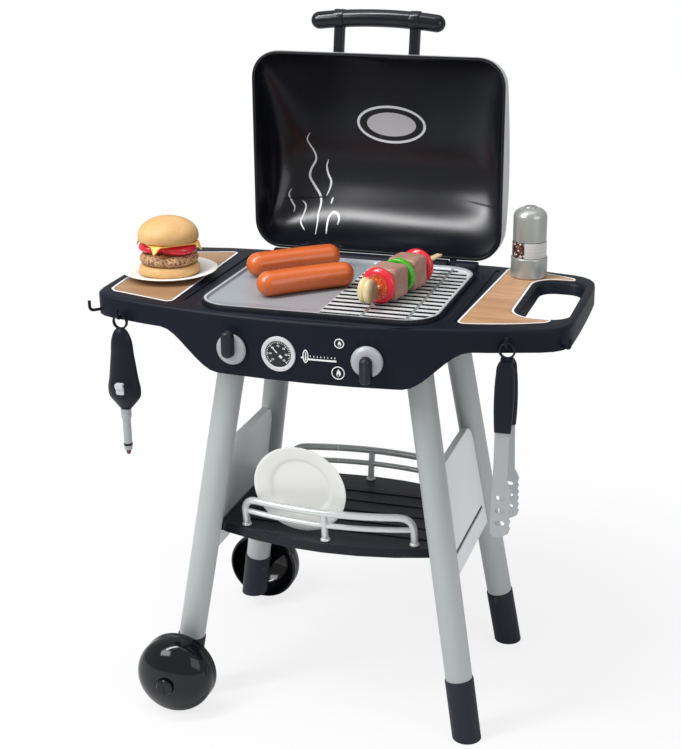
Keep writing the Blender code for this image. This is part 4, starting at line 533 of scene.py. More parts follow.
# Name, colour and roughness, then mottling, size and height of the grain, scuffs, specular, metallic and coat
for row in (
        ("deck black", (0.0062, 0.0084, 0.0158), 0.44, 0.1, 1500, 0.08, 0.0, 0.14),
        ("shelf black", (0.009, 0.011, 0.017), 0.42, 0.1, 1500, 0.08, 0.1, 0.3),
        ("leg grey", (0.42, 0.445, 0.45), 0.36, 0.05, 1300, 0.07),
        ("panel grey", (0.8, 0.82, 0.845), 0.38, 0.05, 1300, 0.1),
        ("lid silver", (0.56, 0.57, 0.62), 0.3, 0.04, 1400, 0.05, 0.2, 0.5, 0.25),
        ("lid black", (0.006, 0.0066, 0.01), 0.22, 0.12, 1500, 0.05, 0.0, 0.42),
        ("grip black", (0.005, 0.006, 0.0095), 0.19, 0.1, 1500, 0.05, 0.0, 0.35),
        ("foot cap charcoal", (0.02, 0.0215, 0.032), 0.46, 0.12, 1100, 0.16, 0.2, 0.2),
        ("wheel black", (0.006, 0.0068, 0.0095), 0.11, 0.1, 1500, 0.02, 0.0, 0.36),
        ("rail silver", (0.66, 0.68, 0.68), 0.26, 0.05, 1300, 0.05, 0.2, 0.5, 0.3),
        ("knob grey", (0.37, 0.39, 0.41), 0.36, 0.06, 1200, 0.09, 0.2, 0.5, 0.1),
        ("lever black", (0.01, 0.0115, 0.0185), 0.4, 0.1, 1200, 0.12, 0.2, 0.32),
        ("tool black", (0.0065, 0.008, 0.015), 0.36, 0.1, 1300, 0.08, 0.0, 0.22),
        ("tool grey", (0.37, 0.39, 0.4), 0.36, 0.06, 1200, 0.08, 0.2, 0.5, 0.2),
        ("button silver", (0.58, 0.59, 0.62), 0.3, 0.06, 1200, 0.05, 0.2, 0.5, 0.2),
        ("print white", (0.8, 0.81, 0.83), 0.42, 0.05, 900, 0.03, 0.0),
        ("print silver", (0.6, 0.6, 0.64), 0.36, 0.06, 900, 0.03, 0.2, 0.5, 0.15),
        ("print dark", (0.016, 0.018, 0.022), 0.34, 0.1, 900, 0.03, 0.2, 0.3),
        ("plate white", (0.86, 0.865, 0.84), 0.32, 0.03, 1000, 0.04, 0.0),
        ("click wheel white", (0.6, 0.6, 0.58), 0.5),
        ("flame red", (0.17, 0.022, 0.035), 0.28, 0.15, 500, 0.1),
        ("sausage skin", (0.6, 0.122, 0.024), 0.27, 0.14, 650, 0.05, 0.0, 0.5, 0.0, 0.18),
        ("cheese yellow", (0.9, 0.5, 0.09), 0.34, 0.08, 500, 0.08, 0.0),
        ("stick", (0.78, 0.62, 0.36), 0.5, 0.14, 400, 0.2, 0.2),
        ("pepper green", (0.065, 0.44, 0.02), 0.22, 0.1, 300, 0.1, 0.0, 0.5, 0.0, 0.3)):
    plastic(*row)
crumbly("bun crust", (0.76, 0.485, 0.215), (0.6, 0.35, 0.132), 820.0, 0.16, 0.7, 0.5)
crumbly("patty mince", (0.68, 0.4, 0.2), (0.105, 0.042, 0.02), 430.0, 0.95, 0.04, 0.6)
crumbly("meat cube", (0.46, 0.262, 0.205), (0.3, 0.158, 0.126), 520.0, 0.22, 0.4, 0.5)
# Same print on both labels: the left copy is made darker as painted shade.
wood_print("left wood print", 0.66)
wood_print("right wood print", 0.97)
pepper_jar()
tomato_slice("tomato")
tray_paint()
mill_silver()


# Deck, tray, labels

def deck_front(x):
    """The fascia's face: set forward by its depth, and falling back with the square of the distance from
    the middle, a little faster on the right."""
    x = np.asarray(x, float)
    return -deck_depth + np.where(x < 0, bow_left, bow_right) * (x / bow_span) ** 2


def on_fascia(flat, proud, middle=(0, 0)):
    """Flat points laid on the bowed fascia: across stays across, up stays up, and proud stands out of it."""
    flat = np.asarray(flat, float)
    x = middle[0] + flat[..., 0]
    return np.stack([x, deck_front(x) - proud, middle[1] + flat[..., 1]], axis=-1)


def rolled_rims(mesh, level, tall, radius):
    """Rounds over the rims of a merged mesh: edges at a level between its flat top and a side at least so tall."""
    work = bmesh.new()
    work.from_mesh(mesh)
    rims = []
    for edge in work.edges:
        if len(edge.link_faces) == 2 and max(abs(v.co.z - level) for v in edge.verts) < 0.00005:
            side, top = sorted(edge.link_faces, key=lambda face: face.normal.z)
            if top.normal.z > 0.98 and side.normal.z < 0.5 and level - min(v.co.z for v in side.verts) > tall:
                rims.append(edge)
    bmesh.ops.bevel(work, geom=rims, offset=radius, offset_type="OFFSET", segments=5, profile=0.5, affect="EDGES",
                    clamp_overlap=False)
    finished(mesh, work, 34)


def build_deck():
    """Deck with its outer rim and the hole's rim rolled over, hinge barrels, tray, and wood labels."""
    deck = edged("deck_shell", "deck_moulding", "deck black", "frame", 0.001, 46, 34)
    rolled_rims(deck.data, deck_top, 0.014, 0.0055)
    for low_x, high_x in ((-0.167, -0.1315), (-0.1185, 0.1185), (0.1315, 0.165)):
        barrel = lathe(drum(0.0122, 0, high_x - low_x, 0.0015), 40, hinge + (low_x, 0, 0), facing((1, 0, 0)))
        piece(f"hinge_barrel_{round(500 + 1000 * low_x)}", barrel, "deck black")
    edged("cooking_tray", "tray_moulding", "tray silver", "tray", 0.0007, 40, 34)
    for side, outline in label_outlines().items():
        piece(f"wood_label_{side}", skin(stacked(outline, (deck_top + gap, label_top))), f"{side} wood print",
              node=f"shelf_label_{side}", smooth=30)


def build_surround():
    """Low rounded ridge round the tray: the tray's outline moved out by a run of steps, each at its height."""
    rows = []
    for step, rise in ((0.0006, -0.0003), (0.0006, 0.0003), (0.0012, 0.0006), (0.0026, 0.0009), (0.0052, 0.001),
                       (0.0076, 0.0009), (0.0092, 0.0005), (0.01, 0.0), (0.0102, -0.0003)):
        loop = rounded_rectangle(tray_half_x + step, tray_half_y + step, tray_corner + step, 200, (0, tray_y))
        rows.append(stacked(loop, [deck_top + rise]))
    piece("tray_surround", skin(np.concatenate(rows), hollow=True), "deck black", smooth=50)


def label_outlines():
    """Outlines of the two labels: straight or bowed sides, the right one cut round the hole between two blunt
    tongues, all corners rounded."""
    corners = ((-0.326, -0.119), (-0.213, -0.153), (-0.224, 0.14), (-0.32, 0.11))
    left = np.vstack([corners[:3], bowed_side(corners[3], corners[0], 0.008, 8)])
    radius, cut_x, cut_y = 0.034, 0.297, -0.054
    front_cut = arc(radius, radius, np.radians(np.linspace(270, 180, 14)), (cut_x, cut_y))
    back_cut = (front_cut * (1, -1) + (0, 0.024))[::-1]
    right = np.vstack([bowed_side((0.199, -0.14), (0.319, -0.103), 0.006, 8), [(0.319, -0.103), (0.323, -0.0885)],
                       front_cut, back_cut, [(0.323, 0.1125)], bowed_side((0.32, 0.126), (0.211, 0.159), 0.004, 6),
                       [(0.211, 0.159)]])
    return {"left": worn_corners(left, corners), "right": worn_corners(right, ((0.199, -0.14), (0.211, 0.159)))}


def worn_corners(loop, broad_corners):
    """Closed loop with its corners worn round: each point becomes the mean of the stretch of loop about it. Half
    the stretch is 7 mm, and up to 16 mm near the broad corners, falling off as a bell curve."""
    count = 600
    even = evenly(loop, count, closed=True)
    step = np.linalg.norm(np.roll(even, -1, 0) - even, axis=1).mean()
    near = np.linalg.norm(even[:, None] - np.array(broad_corners)[None], axis=2).min(axis=1)
    half = 0.007 + 0.009 * np.exp(-(near / 0.016) ** 2)
    total = np.cumsum(np.tile(even, (3, 1)), axis=0) * step
    places = np.arange(3 * count) * step
    middle = places[count:2 * count]
    return np.stack([(np.interp(middle + half, places, run) - np.interp(middle - half, places, run)) / (2 * half)
                     for run in total.T], axis=1)


def inset_loop(loop, distance):
    """Loop moved inwards: each point along the bisector of its corner, divided by the cosine of half the turn."""
    sides = loop - np.roll(loop, 1, 0), np.roll(loop, -1, 0) - loop
    before, after = (unit(np.stack([-side[:, 1], side[:, 0]], axis=1)) for side in sides)
    middle = unit(before + after)
    lean = np.sum(middle * before, axis=1, keepdims=True)
    return loop + middle * distance / np.maximum(lean, 0.5)


def bowed_side(start, end, bow, count):
    """Side between two corners that stands out by a bow, as a parabola."""
    start, end = np.array(start), np.array(end)
    t = np.linspace(0, 1, count, endpoint=False)[:, None]
    return start + (end - start) * t + unit((end - start)[::-1] * (1, -1)) * bow * (1 - (2 * t - 1) ** 2)


def build_label_borders():
    """Silver-white line printed round each wood label, with a thin dark line inside it as painted shade along the inner
    side of the border.
    """
    for side, outline in label_outlines().items():
        # The thin dark line is painted shade along the inner side of the border.
        for name, outer, inner, thick, finish in (("border", 0.0002, 0.0034, 0.00015, "print white"),
                                                  ("border_shade_line", 0.0036, 0.0042, 0.0001, "print dark")):
            line = banded(inset_loop(outline, outer), inset_loop(outline, inner), label_top, label_top + thick,
                          lambda loop, z: stacked(loop, [z])[0])
            piece(f"label_{name}_{side}", line, finish)


# Printed details on the fascia

def raised(profile, steps, middle, hollow=False):
    """Profile turned about the fascia's outward direction."""
    grid = turned(profile, steps)
    return skin(on_fascia(grid[..., :2], grid[..., 2], middle), hollow)


def disc(radius, proud, thickness, middle, steps=48):
    """Low disc with a rounded rim."""
    return raised(drum(radius, proud + thickness, proud - 0.0004, thickness * 0.4, 4), steps, middle)


def hoop(inner, outer, low, high, middle, steps):
    """Ring with rounded edges."""
    run = [(inner, low), (inner, high), (outer, high), (outer, low)]
    return raised(softened(run, min(high - low, outer - inner) * 0.35), steps, middle, hollow=True)


def printed(outline, proud, middle=(0, 0)):
    """Flat shape standing a little proud."""
    return skin(np.stack([on_fascia(outline, height, middle) for height in (proud - 0.0004, proud)]))


def bar(start, end, width, proud, middle=(0, 0), tip=None):
    """Thin stroke between two points, tapered where a tip width is given."""
    start, end = np.array(start), np.array(end)
    side, tip = unit((end - start)[::-1] * (-1, 1)) / 2, width if tip is None else tip
    return printed([start - side * width, start + side * width, end + side * tip, end - side * tip], proud, middle)


def flame_shape(size, middle, proud):
    """Flame: a drop whose half width swells low and pulls to a bent tip."""
    t = np.linspace(0, 1, 18)
    half = size * 0.52 * np.sin(np.pi * t) ** 0.75 * (1 - t) ** 0.45
    sway, rise = size * 0.12 * np.sin(np.pi * t), size * (t * 1.5 - 0.75)
    outline = np.vstack([np.stack([sway + half, rise], 1), np.stack([sway - half, rise], 1)[-2:0:-1]])
    return printed(outline, proud, middle)


def build_gauge():
    """Thermometer: broad raised ring, dark dial with ticks and strokes for numbers, needle and pivot."""
    middle = (-0.039, dial_z)
    piece("gauge_ring", hoop(0.019, 0.0252, -0.0008, 0.0022, middle, 64), "print silver")
    piece("gauge_dial", disc(0.0192, 0.0002, 0.0008, middle), "print dark")
    strokes = []
    for k in range(31):
        reach = toward(225 - 9 * k)
        inner, width = (0.0146, 0.001) if k % 5 == 0 else (0.016, 0.0007)
        strokes.append(bar(reach * inner, reach * 0.0178, width, 0.0012, middle))
    for k in range(7):
        place = toward(225 - 45 * k) * 0.0118
        strokes.append(bar(place + (-0.0013, -0.0011), place + (-0.0013, 0.0013), 0.0007, 0.0012, middle))
        outer, inner = (arc(0.0011 - width, 0.00143 - width, around(14), place + (0.0008, 0)) for width in (0, 0.0006))
        strokes.append(banded(outer, inner, 0.0008, 0.0012, lambda loop, height: on_fascia(loop, height, middle)))
    strokes.append(bar((-0.0016, 0.0016), (-0.0098, 0.0098), 0.0016, 0.0016, middle, 0.0006))
    strokes.append(bar((0.0016, -0.002), (0.0056, -0.0052), 0.0038, 0.0014, middle, 0.003))
    piece("gauge_print", strokes, "print white", smooth=20)


def build_scale():
    """Heat scale: a line with ticks, an oval pointer at its left end, and a flame in a ring over and under."""
    shapes = [bar((0.004, 0.5855), (0.045, 0.5855), 0.0024, 0.0005)]
    shapes += [bar((x, 0.5888), (x, 0.5912), 0.0009, 0.0005) for x in 0.0078 + 0.005 * np.arange(8)]
    shapes.append(disc(0.0013, 0.0, 0.0005, (-0.0045, 0.5872), 16))
    outer, inner = (arc(*half, around(28), (0.0008, 0.5895)) for half in ((0.0042, 0.0096), (0.0028, 0.008)))
    shapes.append(banded(outer, inner, -0.0002, 0.0006, on_fascia))
    shapes.append(bar((0.0008, 0.5835), (0.0008, 0.596), 0.0022, 0.0005, tip=0.0008))
    hearts = []
    for middle, radius in (((0.049, 0.6115), 0.007), ((0.047, 0.569), 0.0094)):
        shapes.append(hoop(radius - 0.0013, radius, -0.0002, 0.0005, middle, 36))
        shapes.append(flame_shape(radius * 0.84, middle, 0.0005))
        hearts.append(flame_shape(radius * 0.34, (middle[0], middle[1] - radius * 0.3), 0.0007))
    piece("scale_print", shapes, "print white", smooth=20)
    piece("flame_hearts", hearts, "print dark", smooth=20)


knobs = {"left": -0.109, "right": 0.088}


def build_knob_marks():
    """Small raised marks round the right knob and over the left one, moulded in the fascia."""
    marks = []
    for side, turns, outer in (("right", (30, 62, 90, 118, 150), 0.031), ("left", (75, 105), 0.0305)):
        for reach in map(toward, turns):
            marks.append(bar(reach * 0.0275, reach * outer, 0.0016, 0.0007, (knobs[side], dial_z)))
    piece("knob_marks", marks, "deck black")


def build_knobs():
    """Domed dials with a rounded rim, and finger levers swelling towards their round ends."""
    profile = softened([(0, 0.0106), (0.0095, 0.0104), (0.0172, 0.0094), (0.0224, 0.0055), (0.0225, 0.0006),
                        (0.004, 0.0006), (0.004, -0.014), (0, -0.014)], 0.0026, 5)
    for side, x in knobs.items():
        bow = bow_left if x < 0 else bow_right
        turn = about_z(math.degrees(math.atan(2 * bow * x / bow_span ** 2))) @ about_x(90)
        at = (x, float(deck_front(x)), dial_z)
        body = f"knob_{side}"
        piece(f"knob_face_{side}", lathe(profile, 72, at, turn), "knob grey", body, f"knob_dial_{side}")
        rings = []
        for height, shrink in ((0.0103, 0.0), (0.015, 0.0004), (0.0185, 0.0011), (0.0208, 0.0024), (0.022, 0.0042),
                               (0.0223, 0.0062)):
            half = 0.009 - shrink
            loop = rounded_rectangle(half, 0.02 - shrink, half * 0.97, 48, (0, 0.01 if x < 0 else -0.01))
            rings.append(stacked(loop, [height]))
        grip = skin(placed(np.concatenate(rings), turn, at))
        piece(f"knob_grip_{side}", grip, "lever black", body, f"knob_lever_{side}")
        repainted(f"click_wheel_{side}", "click wheel white")


# Legs, caps, panels, lower shelf

def leg_point(side, end, z):
    """Place on a leg's axis, which leans in by the same share both ways as it rises."""
    share = z / 0.5
    return np.array([side * (0.228 - 0.08 * share), end * (0.151 - 0.042 * share), z])


def build_legs():
    """Round tubes along the leaning axis, and foot caps cut level at the floor: a point of a cap below the
    cut slides up the axis to it. The left caps carry a boss for the wheels."""
    for side, side_name, foot_z, high in ((-1, "left", 0.025, 0.077), (1, "right", 0.0, 0.094)):
        for end, name in ((-1, f"front_{side_name}"), (1, f"back_{side_name}")):
            foot, top = leg_point(side, end, foot_z), leg_point(side, end, 0.59)
            length, axis = np.linalg.norm(top - foot), unit(top - foot)
            tube = softened([(0.0, length), (0.02, length), (0.02, high + gap), (0.0175, high + gap),
                             (0.0175, 0.01), (0.0, 0.01)], 0.0005, 2)
            piece(f"leg_tube_{name}", lathe(tube, 56, foot, facing(axis)), "leg grey", "frame", f"leg_{name}")
            cap = softened([(0.0178, high - 0.004), (0.0183, high), (0.0215, high), (0.0215, 0.0), (0.0215, -0.0215),
                            (0.0, -0.0215)], 0.0012, 3)
            rings = placed(turned(cap, 56), facing(axis), foot)
            shapes = [skin(rings + np.maximum(foot_z - rings[..., 2:], 0) * axis / axis[2])]
            if side < 0:
                middle = leg_point(side, end, axle_z)
                boss = drum(0.0115, 0, wheel_y - 2 * gap - abs(middle[1]), 0.001)
                shapes.append(lathe(boss, 32, middle, facing((0, end, 0))))
            piece(f"cap_cup_{name}", shapes, "foot cap charcoal", "frame", f"foot_cap_{name}")


def build_shelf_and_panels():
    """Side panels and lower shelf, with their edges rounded."""
    for side in ("left", "right"):
        edged(f"side_panel_{side}", f"panel_moulding_{side}", "panel grey", "frame", 0.0009, 30, 30)
    edged("basket_shelf", "lower_shelf_moulding", "shelf black", "frame", 0.0007, 40, 34)


def build_rails():
    """Top tube with rounded ends, posts, lower tube and flared feet, bowed with the shelf's edge."""
    base, height, foot_height, half_x, tube = 0.277 + gap, 0.053, 0.004, 0.132, 0.0055
    centre = height - tube

    def place(x, z, end):
        """Point of a rail: set out by a parabola of x, and leaning out as it rises over the foot."""
        x, z = np.broadcast_arrays(np.asarray(x, float), np.asarray(z, float))
        reach = 0.1175 - 0.02 * (x / half_x) ** 2
        lean = 0.009 * np.maximum(z - foot_height, 0) / (height - foot_height)
        return np.stack([x, end * (reach + lean), base + z], axis=-1)

    flat = evenly(softened([(-half_x, 0.0), (-half_x, centre), (half_x, centre), (half_x, 0.0)], 0.024, 8), 70)
    foot = softened([(0, 0), (0.0078, 0), (0.0074, 0.0022), (0.0058, 0.0045), (0, 0.0045)], 0.0012, 3)
    for end, name in ((-1, "front"), (1, "back")):
        shapes = [skin(swept(place(flat[:, 0], flat[:, 1], end), tube)),
                  skin(swept(place(0, np.linspace(0, centre, 8), end), 0.0052)),
                  skin(swept(place(np.linspace(-half_x, half_x, 40), 0.026, end), 0.0042, 16))]
        shapes += [lathe(foot, 28, place(x, 0.0, end)) for x in (-half_x, 0.0, half_x)]
        piece(f"rail_tubes_{name}", shapes, "rail silver", "frame", f"rail_{name}")


def build_wheels():
    """Domed wheels: a rim band, then an ellipse up to the seat of the screw, with a groove by the rim."""
    seat, inner_radius, rim_depth, dome_height = 0.0145, 0.056, 0.019, 0.04
    turn = np.linspace(0, math.acos(seat / wheel_radius), 26)
    dome = arc(wheel_radius, dome_height, turn, (0, rim_depth))
    rim = [(0.0562, 0.0), (0.0585, 0.0004), (0.06, 0.0022), (0.06, 0.01), (0.0592, 0.0106), (0.0592, 0.0114),
           (0.06, 0.012), (0.06, 0.0185)]
    top = dome[-1, 1]
    under = [(0.013, top - 0.0004), (0.0118, top - 0.001), (0.0054, top - 0.001), (0.0054, 0.0), (0.012, 0.0),
             (0.012, 0.044)]
    turn = np.linspace(math.acos(seat / inner_radius), 0, 12)
    inner = arc(inner_radius, dome_height - 0.004, turn, (0, rim_depth))
    for end, name in ((-1, "front"), (1, "back")):
        middle = leg_point(-1, end, axle_z)
        at = (middle[0], end * wheel_y, axle_z)
        dish = lathe(np.vstack([rim, dome, under, inner]), 96, at, facing((0, end, 0)), hollow=True)
        piece(f"wheel_dome_{name}", dish, "wheel black", f"wheel_{name}", f"wheel_{name}")
        screw = edged(f"wheel_screw_{name}", f"axle_head_{name}", "wheel black", "frame", 0.0005, 30, 30)
        axis = Matrix.Translation(Vector((middle[0], 0, axle_z)) + Vector(layout))
        screw.data.transform(axis @ Matrix.Rotation(math.radians(78), 4, "Y") @ axis.inverted())


# Lid

def lid_height(x, depth, inset):
    """Lid over its rim: a crest that is a power of a sine along its length, times rounded shoulders that
    fall to nothing at the outline's sides."""
    radius = lid_corner - inset
    nearest = np.maximum(np.minimum(depth, lid_length - depth) - inset, 0)
    past = np.clip(radius - nearest, 0, radius)
    half_width = lid_half_x - inset - radius + np.sqrt(radius ** 2 - past ** 2)
    share = np.clip((depth - inset) / (lid_length - 2 * inset), 0, 1)
    rise = np.maximum(np.sin(np.pi * share ** 1.357), 0)
    shoulder = np.maximum(1 - (np.abs(x) / half_width) ** lid_shape, 0)
    return lid_rim_height - inset + 0.09748 * rise ** 0.55 * shoulder ** (1 / lid_shape)


def opened_lid(x, depth, height):
    """Lid point at rest: placed about the hinge as if shut, then swung open."""
    x, depth, height = np.broadcast_arrays(x, depth, height)
    shut = np.stack([x, lid_back - lid_length + depth - hinge[1], 0.64 + height - hinge[2]], axis=-1)
    return placed(shut, about_x(lid_swing), hinge)


def lid_outline(inset, count):
    """Rounded outline of the lid, drawn in by an inset."""
    return rounded_rectangle(lid_half_x - inset, lid_length / 2 - inset, lid_corner - inset, count, (0, lid_length / 2))


def lid_rim(inset, height, count):
    """The outline at a height over the lid's lower edge, on the opened lid."""
    return opened_lid(*lid_outline(inset, count).T, height)


def lid_dome(inset, count, rings):
    """Rings from the rim to the middle: the outline drawn in towards the lid's centre by equal steps of a
    sine, each at the lid's own height."""
    loop, middle = lid_outline(inset, count), lid_length / 2
    shares = np.concatenate([[0.9985, 0.996], np.cos(np.linspace(0, np.pi / 2, rings))[1:-1]])
    shares = np.sort(shares)[::-1, None]
    x, depth = loop[:, 0] * shares, middle + (loop[:, 1] - middle) * shares
    dome = opened_lid(x, depth, lid_height(x, depth, inset))
    centre = opened_lid(0.0, middle, lid_height(0.0, np.full(count, middle), inset))
    return np.concatenate([lid_rim(inset, lid_rim_height - inset, count)[None], dome, centre[None]])


def build_lid():
    """Silver outer skin and black inner skin, each a closed shell with its thickness, and two hinge lugs."""
    count, rings = 176, 40
    for name, outset, inset, edge, finish, node in (
            ("outer", 0.0, 0.002, ((0.002, 0.0028), (0.0, 0.0028)), "lid silver", "lid_shell"),
            ("inner", 0.0023, lid_skin, ((lid_skin, 0.0004), (0.0039, 0.0), (0.0004, 0.0), (0.0, 0.0004), (0.0, 0.0022),
                                         (0.0003, 0.0025), (0.0023, 0.0025)), "lid black", "lid_liner")):
        rim = [lid_rim(*step, count) for step in edge]
        shell = np.concatenate([lid_dome(inset, count, rings)[::-1], np.stack(rim), lid_dome(outset, count, rings)])
        piece(f"lid_{name}_skin", skin(shell), finish, "lid", node, 50)
    turn = np.radians(np.linspace(170, 450, 28))
    back = lid_back - hinge[1] - 0.0022
    lug = np.vstack([[(back, 0.0062), (back, 0.0043), (-0.0102, 0.004)], arc(0.0048, 0.0048, turn)])
    shapes = []
    for x in (-0.125, 0.125):
        rows = [np.column_stack([np.full(len(lug), x + step), lug]) for step in (-0.0055, 0.0055)]
        shapes.append(skin(placed(np.stack(rows), about_x(lid_swing), hinge)))
    piece("lid_lugs", shapes, "deck black", "lid", smooth=50)
    repainted("hinge_pin_left", "deck black")
    repainted("hinge_pin_right", "deck black")


def build_lid_handle():
    """Arched grip with round ends, two slim clamps and flat posts down to the lid's front slope."""
    middle_x, half_x, radius, post_x = -0.01, 0.106, 0.0132, 0.06

    def grip_at(share, x):
        """The grip's axis, bowed out towards its middle as a parabola of the share of its half length."""
        return opened_lid(x, -0.042 - 0.007 * (1 - share ** 2), 0.045)

    share = np.sin(np.linspace(-np.pi / 2, np.pi / 2, 81))
    grip = swept(grip_at(share, middle_x + share * half_x), round_ended(share, half_x, radius, radius), 40)
    shapes = [skin(grip)]
    head = grip_at(post_x / half_x, middle_x)
    arm = opened_lid(middle_x, 0.022, 0.0335) - head
    turn = np.stack([(1, 0, 0), np.cross(unit(arm), (1, 0, 0)), unit(arm)], axis=1)
    post = stacked(rounded_rectangle(0.008, 0.0062, 0.003, 32), np.linspace(0, np.linalg.norm(arm), 6))
    for at in (head - (post_x, 0, 0), head + (post_x, 0, 0)):
        shapes.append(skin(placed(post, turn, at)))
        shapes.append(lathe(drum(0.0146, -0.008, 0.008, 0.0012, 4), 48, at, facing((1, 0, 0))))
    piece("lid_grip", shapes, "grip black", "lid", "lid_handle")


def on_lid_lining(x, depth, proud):
    """Points on the lid's inner skin, standing off it by proud."""
    return opened_lid(x, depth, lid_height(x, depth, lid_skin) - proud)


def build_badge():
    """Plain oval badge on the lid's inner skin: a broad silver ring, a dark band and a pale field."""
    badge_depth = 0.118
    outer, inner = (arc(*half, around(96), (0, badge_depth)) for half in ((0.0565, 0.0315), (0.0525, 0.0275)))
    ring = banded(outer, inner, 0.0, 0.0016, lambda loop, height: on_lid_lining(loop[:, 0], loop[:, 1], height))
    piece("badge_ring", ring, "print white", "lid")
    shares = np.linspace(0.0, 1, 12)[:, None]
    for name, half_x, half_y, proud, finish in (("band", 0.053, 0.028, 0.0008, "print dark"),
                                                ("field", 0.0403, 0.02, 0.0012, "print silver")):
        x, depth = arc(half_x, half_y, around(96)).T
        field = skin(on_lid_lining(x * shares, badge_depth + depth * shares, proud), open_ends=True)
        piece(f"badge_{name}", field, finish, "lid", closed=False)


def build_steam_lines():
    """Wavy strokes printed on the lid's inner skin: smooth through a few places across and along the lid, and
    as wide as the root of a sine of the share travelled."""
    strokes = (
        (0.0018, (-0.1378, -0.143, -0.133, -0.1305, -0.138, -0.1398, -0.1296, -0.1203, -0.1172, -0.1181, -0.116,
                  -0.1135),
         (0.1377, 0.15, 0.169, 0.182, 0.197, 0.2105, 0.2259, 0.2383, 0.25, 0.265, 0.279, 0.2923)),
        (0.0016, (-0.1097, -0.1128, -0.1103, -0.1046, -0.1057, -0.11), (0.1813, 0.1922, 0.2041, 0.2158, 0.2275, 0.239)),
        (0.0012, (-0.1676, -0.1705, -0.164, -0.159, -0.1592), (0.2288, 0.2379, 0.2494, 0.2568, 0.264)),
        (0.0013, (-0.1486, -0.1415, -0.1419, -0.144, -0.1337), (0.2467, 0.254, 0.2659, 0.2776, 0.2882)),
        (0.002, (-0.096, -0.0992, -0.0992, -0.0936, -0.0857, -0.0816, -0.0822),
         (0.2914, 0.279, 0.269, 0.2625, 0.2645, 0.2715, 0.279)),
        (0.0014, (-0.098, -0.0995, -0.1006), (0.2405, 0.245, 0.2505)))
    shapes = []
    for half_width, across, along in strokes:
        t = np.linspace(0, 1, len(across))
        places, x = eased(t, across, 70)
        depth = eased(t, along, 70)[1]
        half = half_width * np.sqrt(np.sin(np.pi * np.clip(places, 0.015, 0.985)))
        step_x, step_depth = np.gradient(x), np.gradient(depth)
        length = np.hypot(step_x, step_depth)
        side_x, side_depth = -step_depth / length * half, step_x / length * half
        sides = [on_lid_lining(x + way * side_x, depth + way * side_depth, 0.0004) for way in (-1, 1)]
        shapes.append(leaf(np.stack(sides, axis=1)))
    piece("steam_lines", shapes, "print white", "lid", closed=False)


def build_lid_ledges():
    """Thin dark ledges in the lining over the hinge line: a tube laid along the skin."""
    shapes = []
    for low_x, high_x, low_depth, high_depth in ((-0.176, -0.106, 0.244, 0.2405), (0.126, 0.18, 0.2337, 0.24)):
        t = np.linspace(0, 1, 30)
        path = on_lid_lining(low_x + (high_x - low_x) * t, low_depth + (high_depth - low_depth) * t, 0.0002)
        shapes.append(skin(swept(path, 0.0017 * np.sqrt(np.sin(np.pi * np.clip(t, 0.02, 0.98))), 12)))
    piece("lid_ledges", shapes, "lid black", "lid")


# Tools

def hook_at(x, z):
    """Place of a tool's hanging ring before the fascia."""
    return np.array([x, float(deck_front(x)) - hook_gap, z])


def hanging_ring(at):
    """Hanging ring, square to its peg, with rounded edges."""
    inner, outer, half = 0.0088, 0.0116, 0.0025
    run = [(inner, -half * 0.2), (inner, half), (outer, half), (outer, -half), (inner, -half), (inner, -half * 0.2)]
    return lathe(softened(run, 0.0011)[:-1], 48, at - (0, 0, 0.0061), facing((0, 1, 0)), hollow=True)


def build_lighter():
    """Teardrop body with a round ring on top, stepped button, collared wand with a dark band, and a red flame."""
    at, head, length, half_x, half_y = hook_at(-0.29, 0.612), -0.0165, 0.1225, 0.0256, 0.015
    places, width = eased((0.0, 0.03, 0.08, 0.34, 0.61, 0.76, 0.84, 0.93, 1.0),
                          (0.26, 0.4, 0.52, 0.72, 0.89, 1.0, 0.95, 0.62, 0.33), 48)
    width, height = width[:, None], (head - length * places)[:, None]
    cosine, sine = np.cos(around(48)), np.sin(around(48))
    groove = np.sign(cosine) * np.exp(-((cosine ** 2 - 1.0) / 0.0018) ** 2) * 0.0006
    rings = np.stack([half_x * width * cosine - groove, half_y * width * sine * (0.75 + 0.25 * np.abs(sine)),
                      height + 0 * sine], axis=2)
    body = [skin(placed(rings, None, at)), hanging_ring(at)]
    piece("lighter_shell", body, "tool black", "lighter", "lighter_body", 45)
    steps = []
    for half_z, middle_z, proud in ((0.009, 0.0, 0.0014), (0.0042, 0.0046, 0.0046)):
        loop = rounded_rectangle(0.0062, half_z, 0.0022, 40, (0, middle_z))
        step = stacked(loop, (-0.004, proud - 0.0008, proud - 0.0002, proud), (1, 1, 0.96, 0.88), (0, middle_z))
        steps.append(skin(placed(step, facing((0, -1, 0)), at - (0, half_y, 0.104))))
    piece("lighter_trigger", steps, "button silver", "lighter_button", "lighter_button")
    top = head - length - gap
    tube = softened([(0.0044, top), (0.0076, top), (0.0076, top - 0.012), (0.006, top - 0.018), (0.006, top - 0.064),
                     (0.0044, top - 0.064)], 0.0009, 3)
    tube = lathe(np.vstack([tube, [(0.0044, top - 0.04)]]), 40, at, hollow=True)
    piece("lighter_tube", tube, "tool grey", "lighter", "lighter_wand")
    band = softened([(0.0052, top - 0.054), (0.0066, top - 0.054), (0.0066, top - 0.0575), (0.0052, top - 0.0575),
                     (0.0052, top - 0.055)], 0.0005, 3)
    piece("lighter_band", lathe(band, 40, at, hollow=True), "tool black", "lighter")
    low = top - 0.073
    flame = softened([(0, low + 0.032), (0.0038, low + 0.032), (0.0038, low + 0.0055), (0.0024, low + 0.0015),
                      (0, low)], 0.0016)
    piece("lighter_tip", lathe(flame, 28, at), "flame red", "lighter_flame", "lighter_flame")


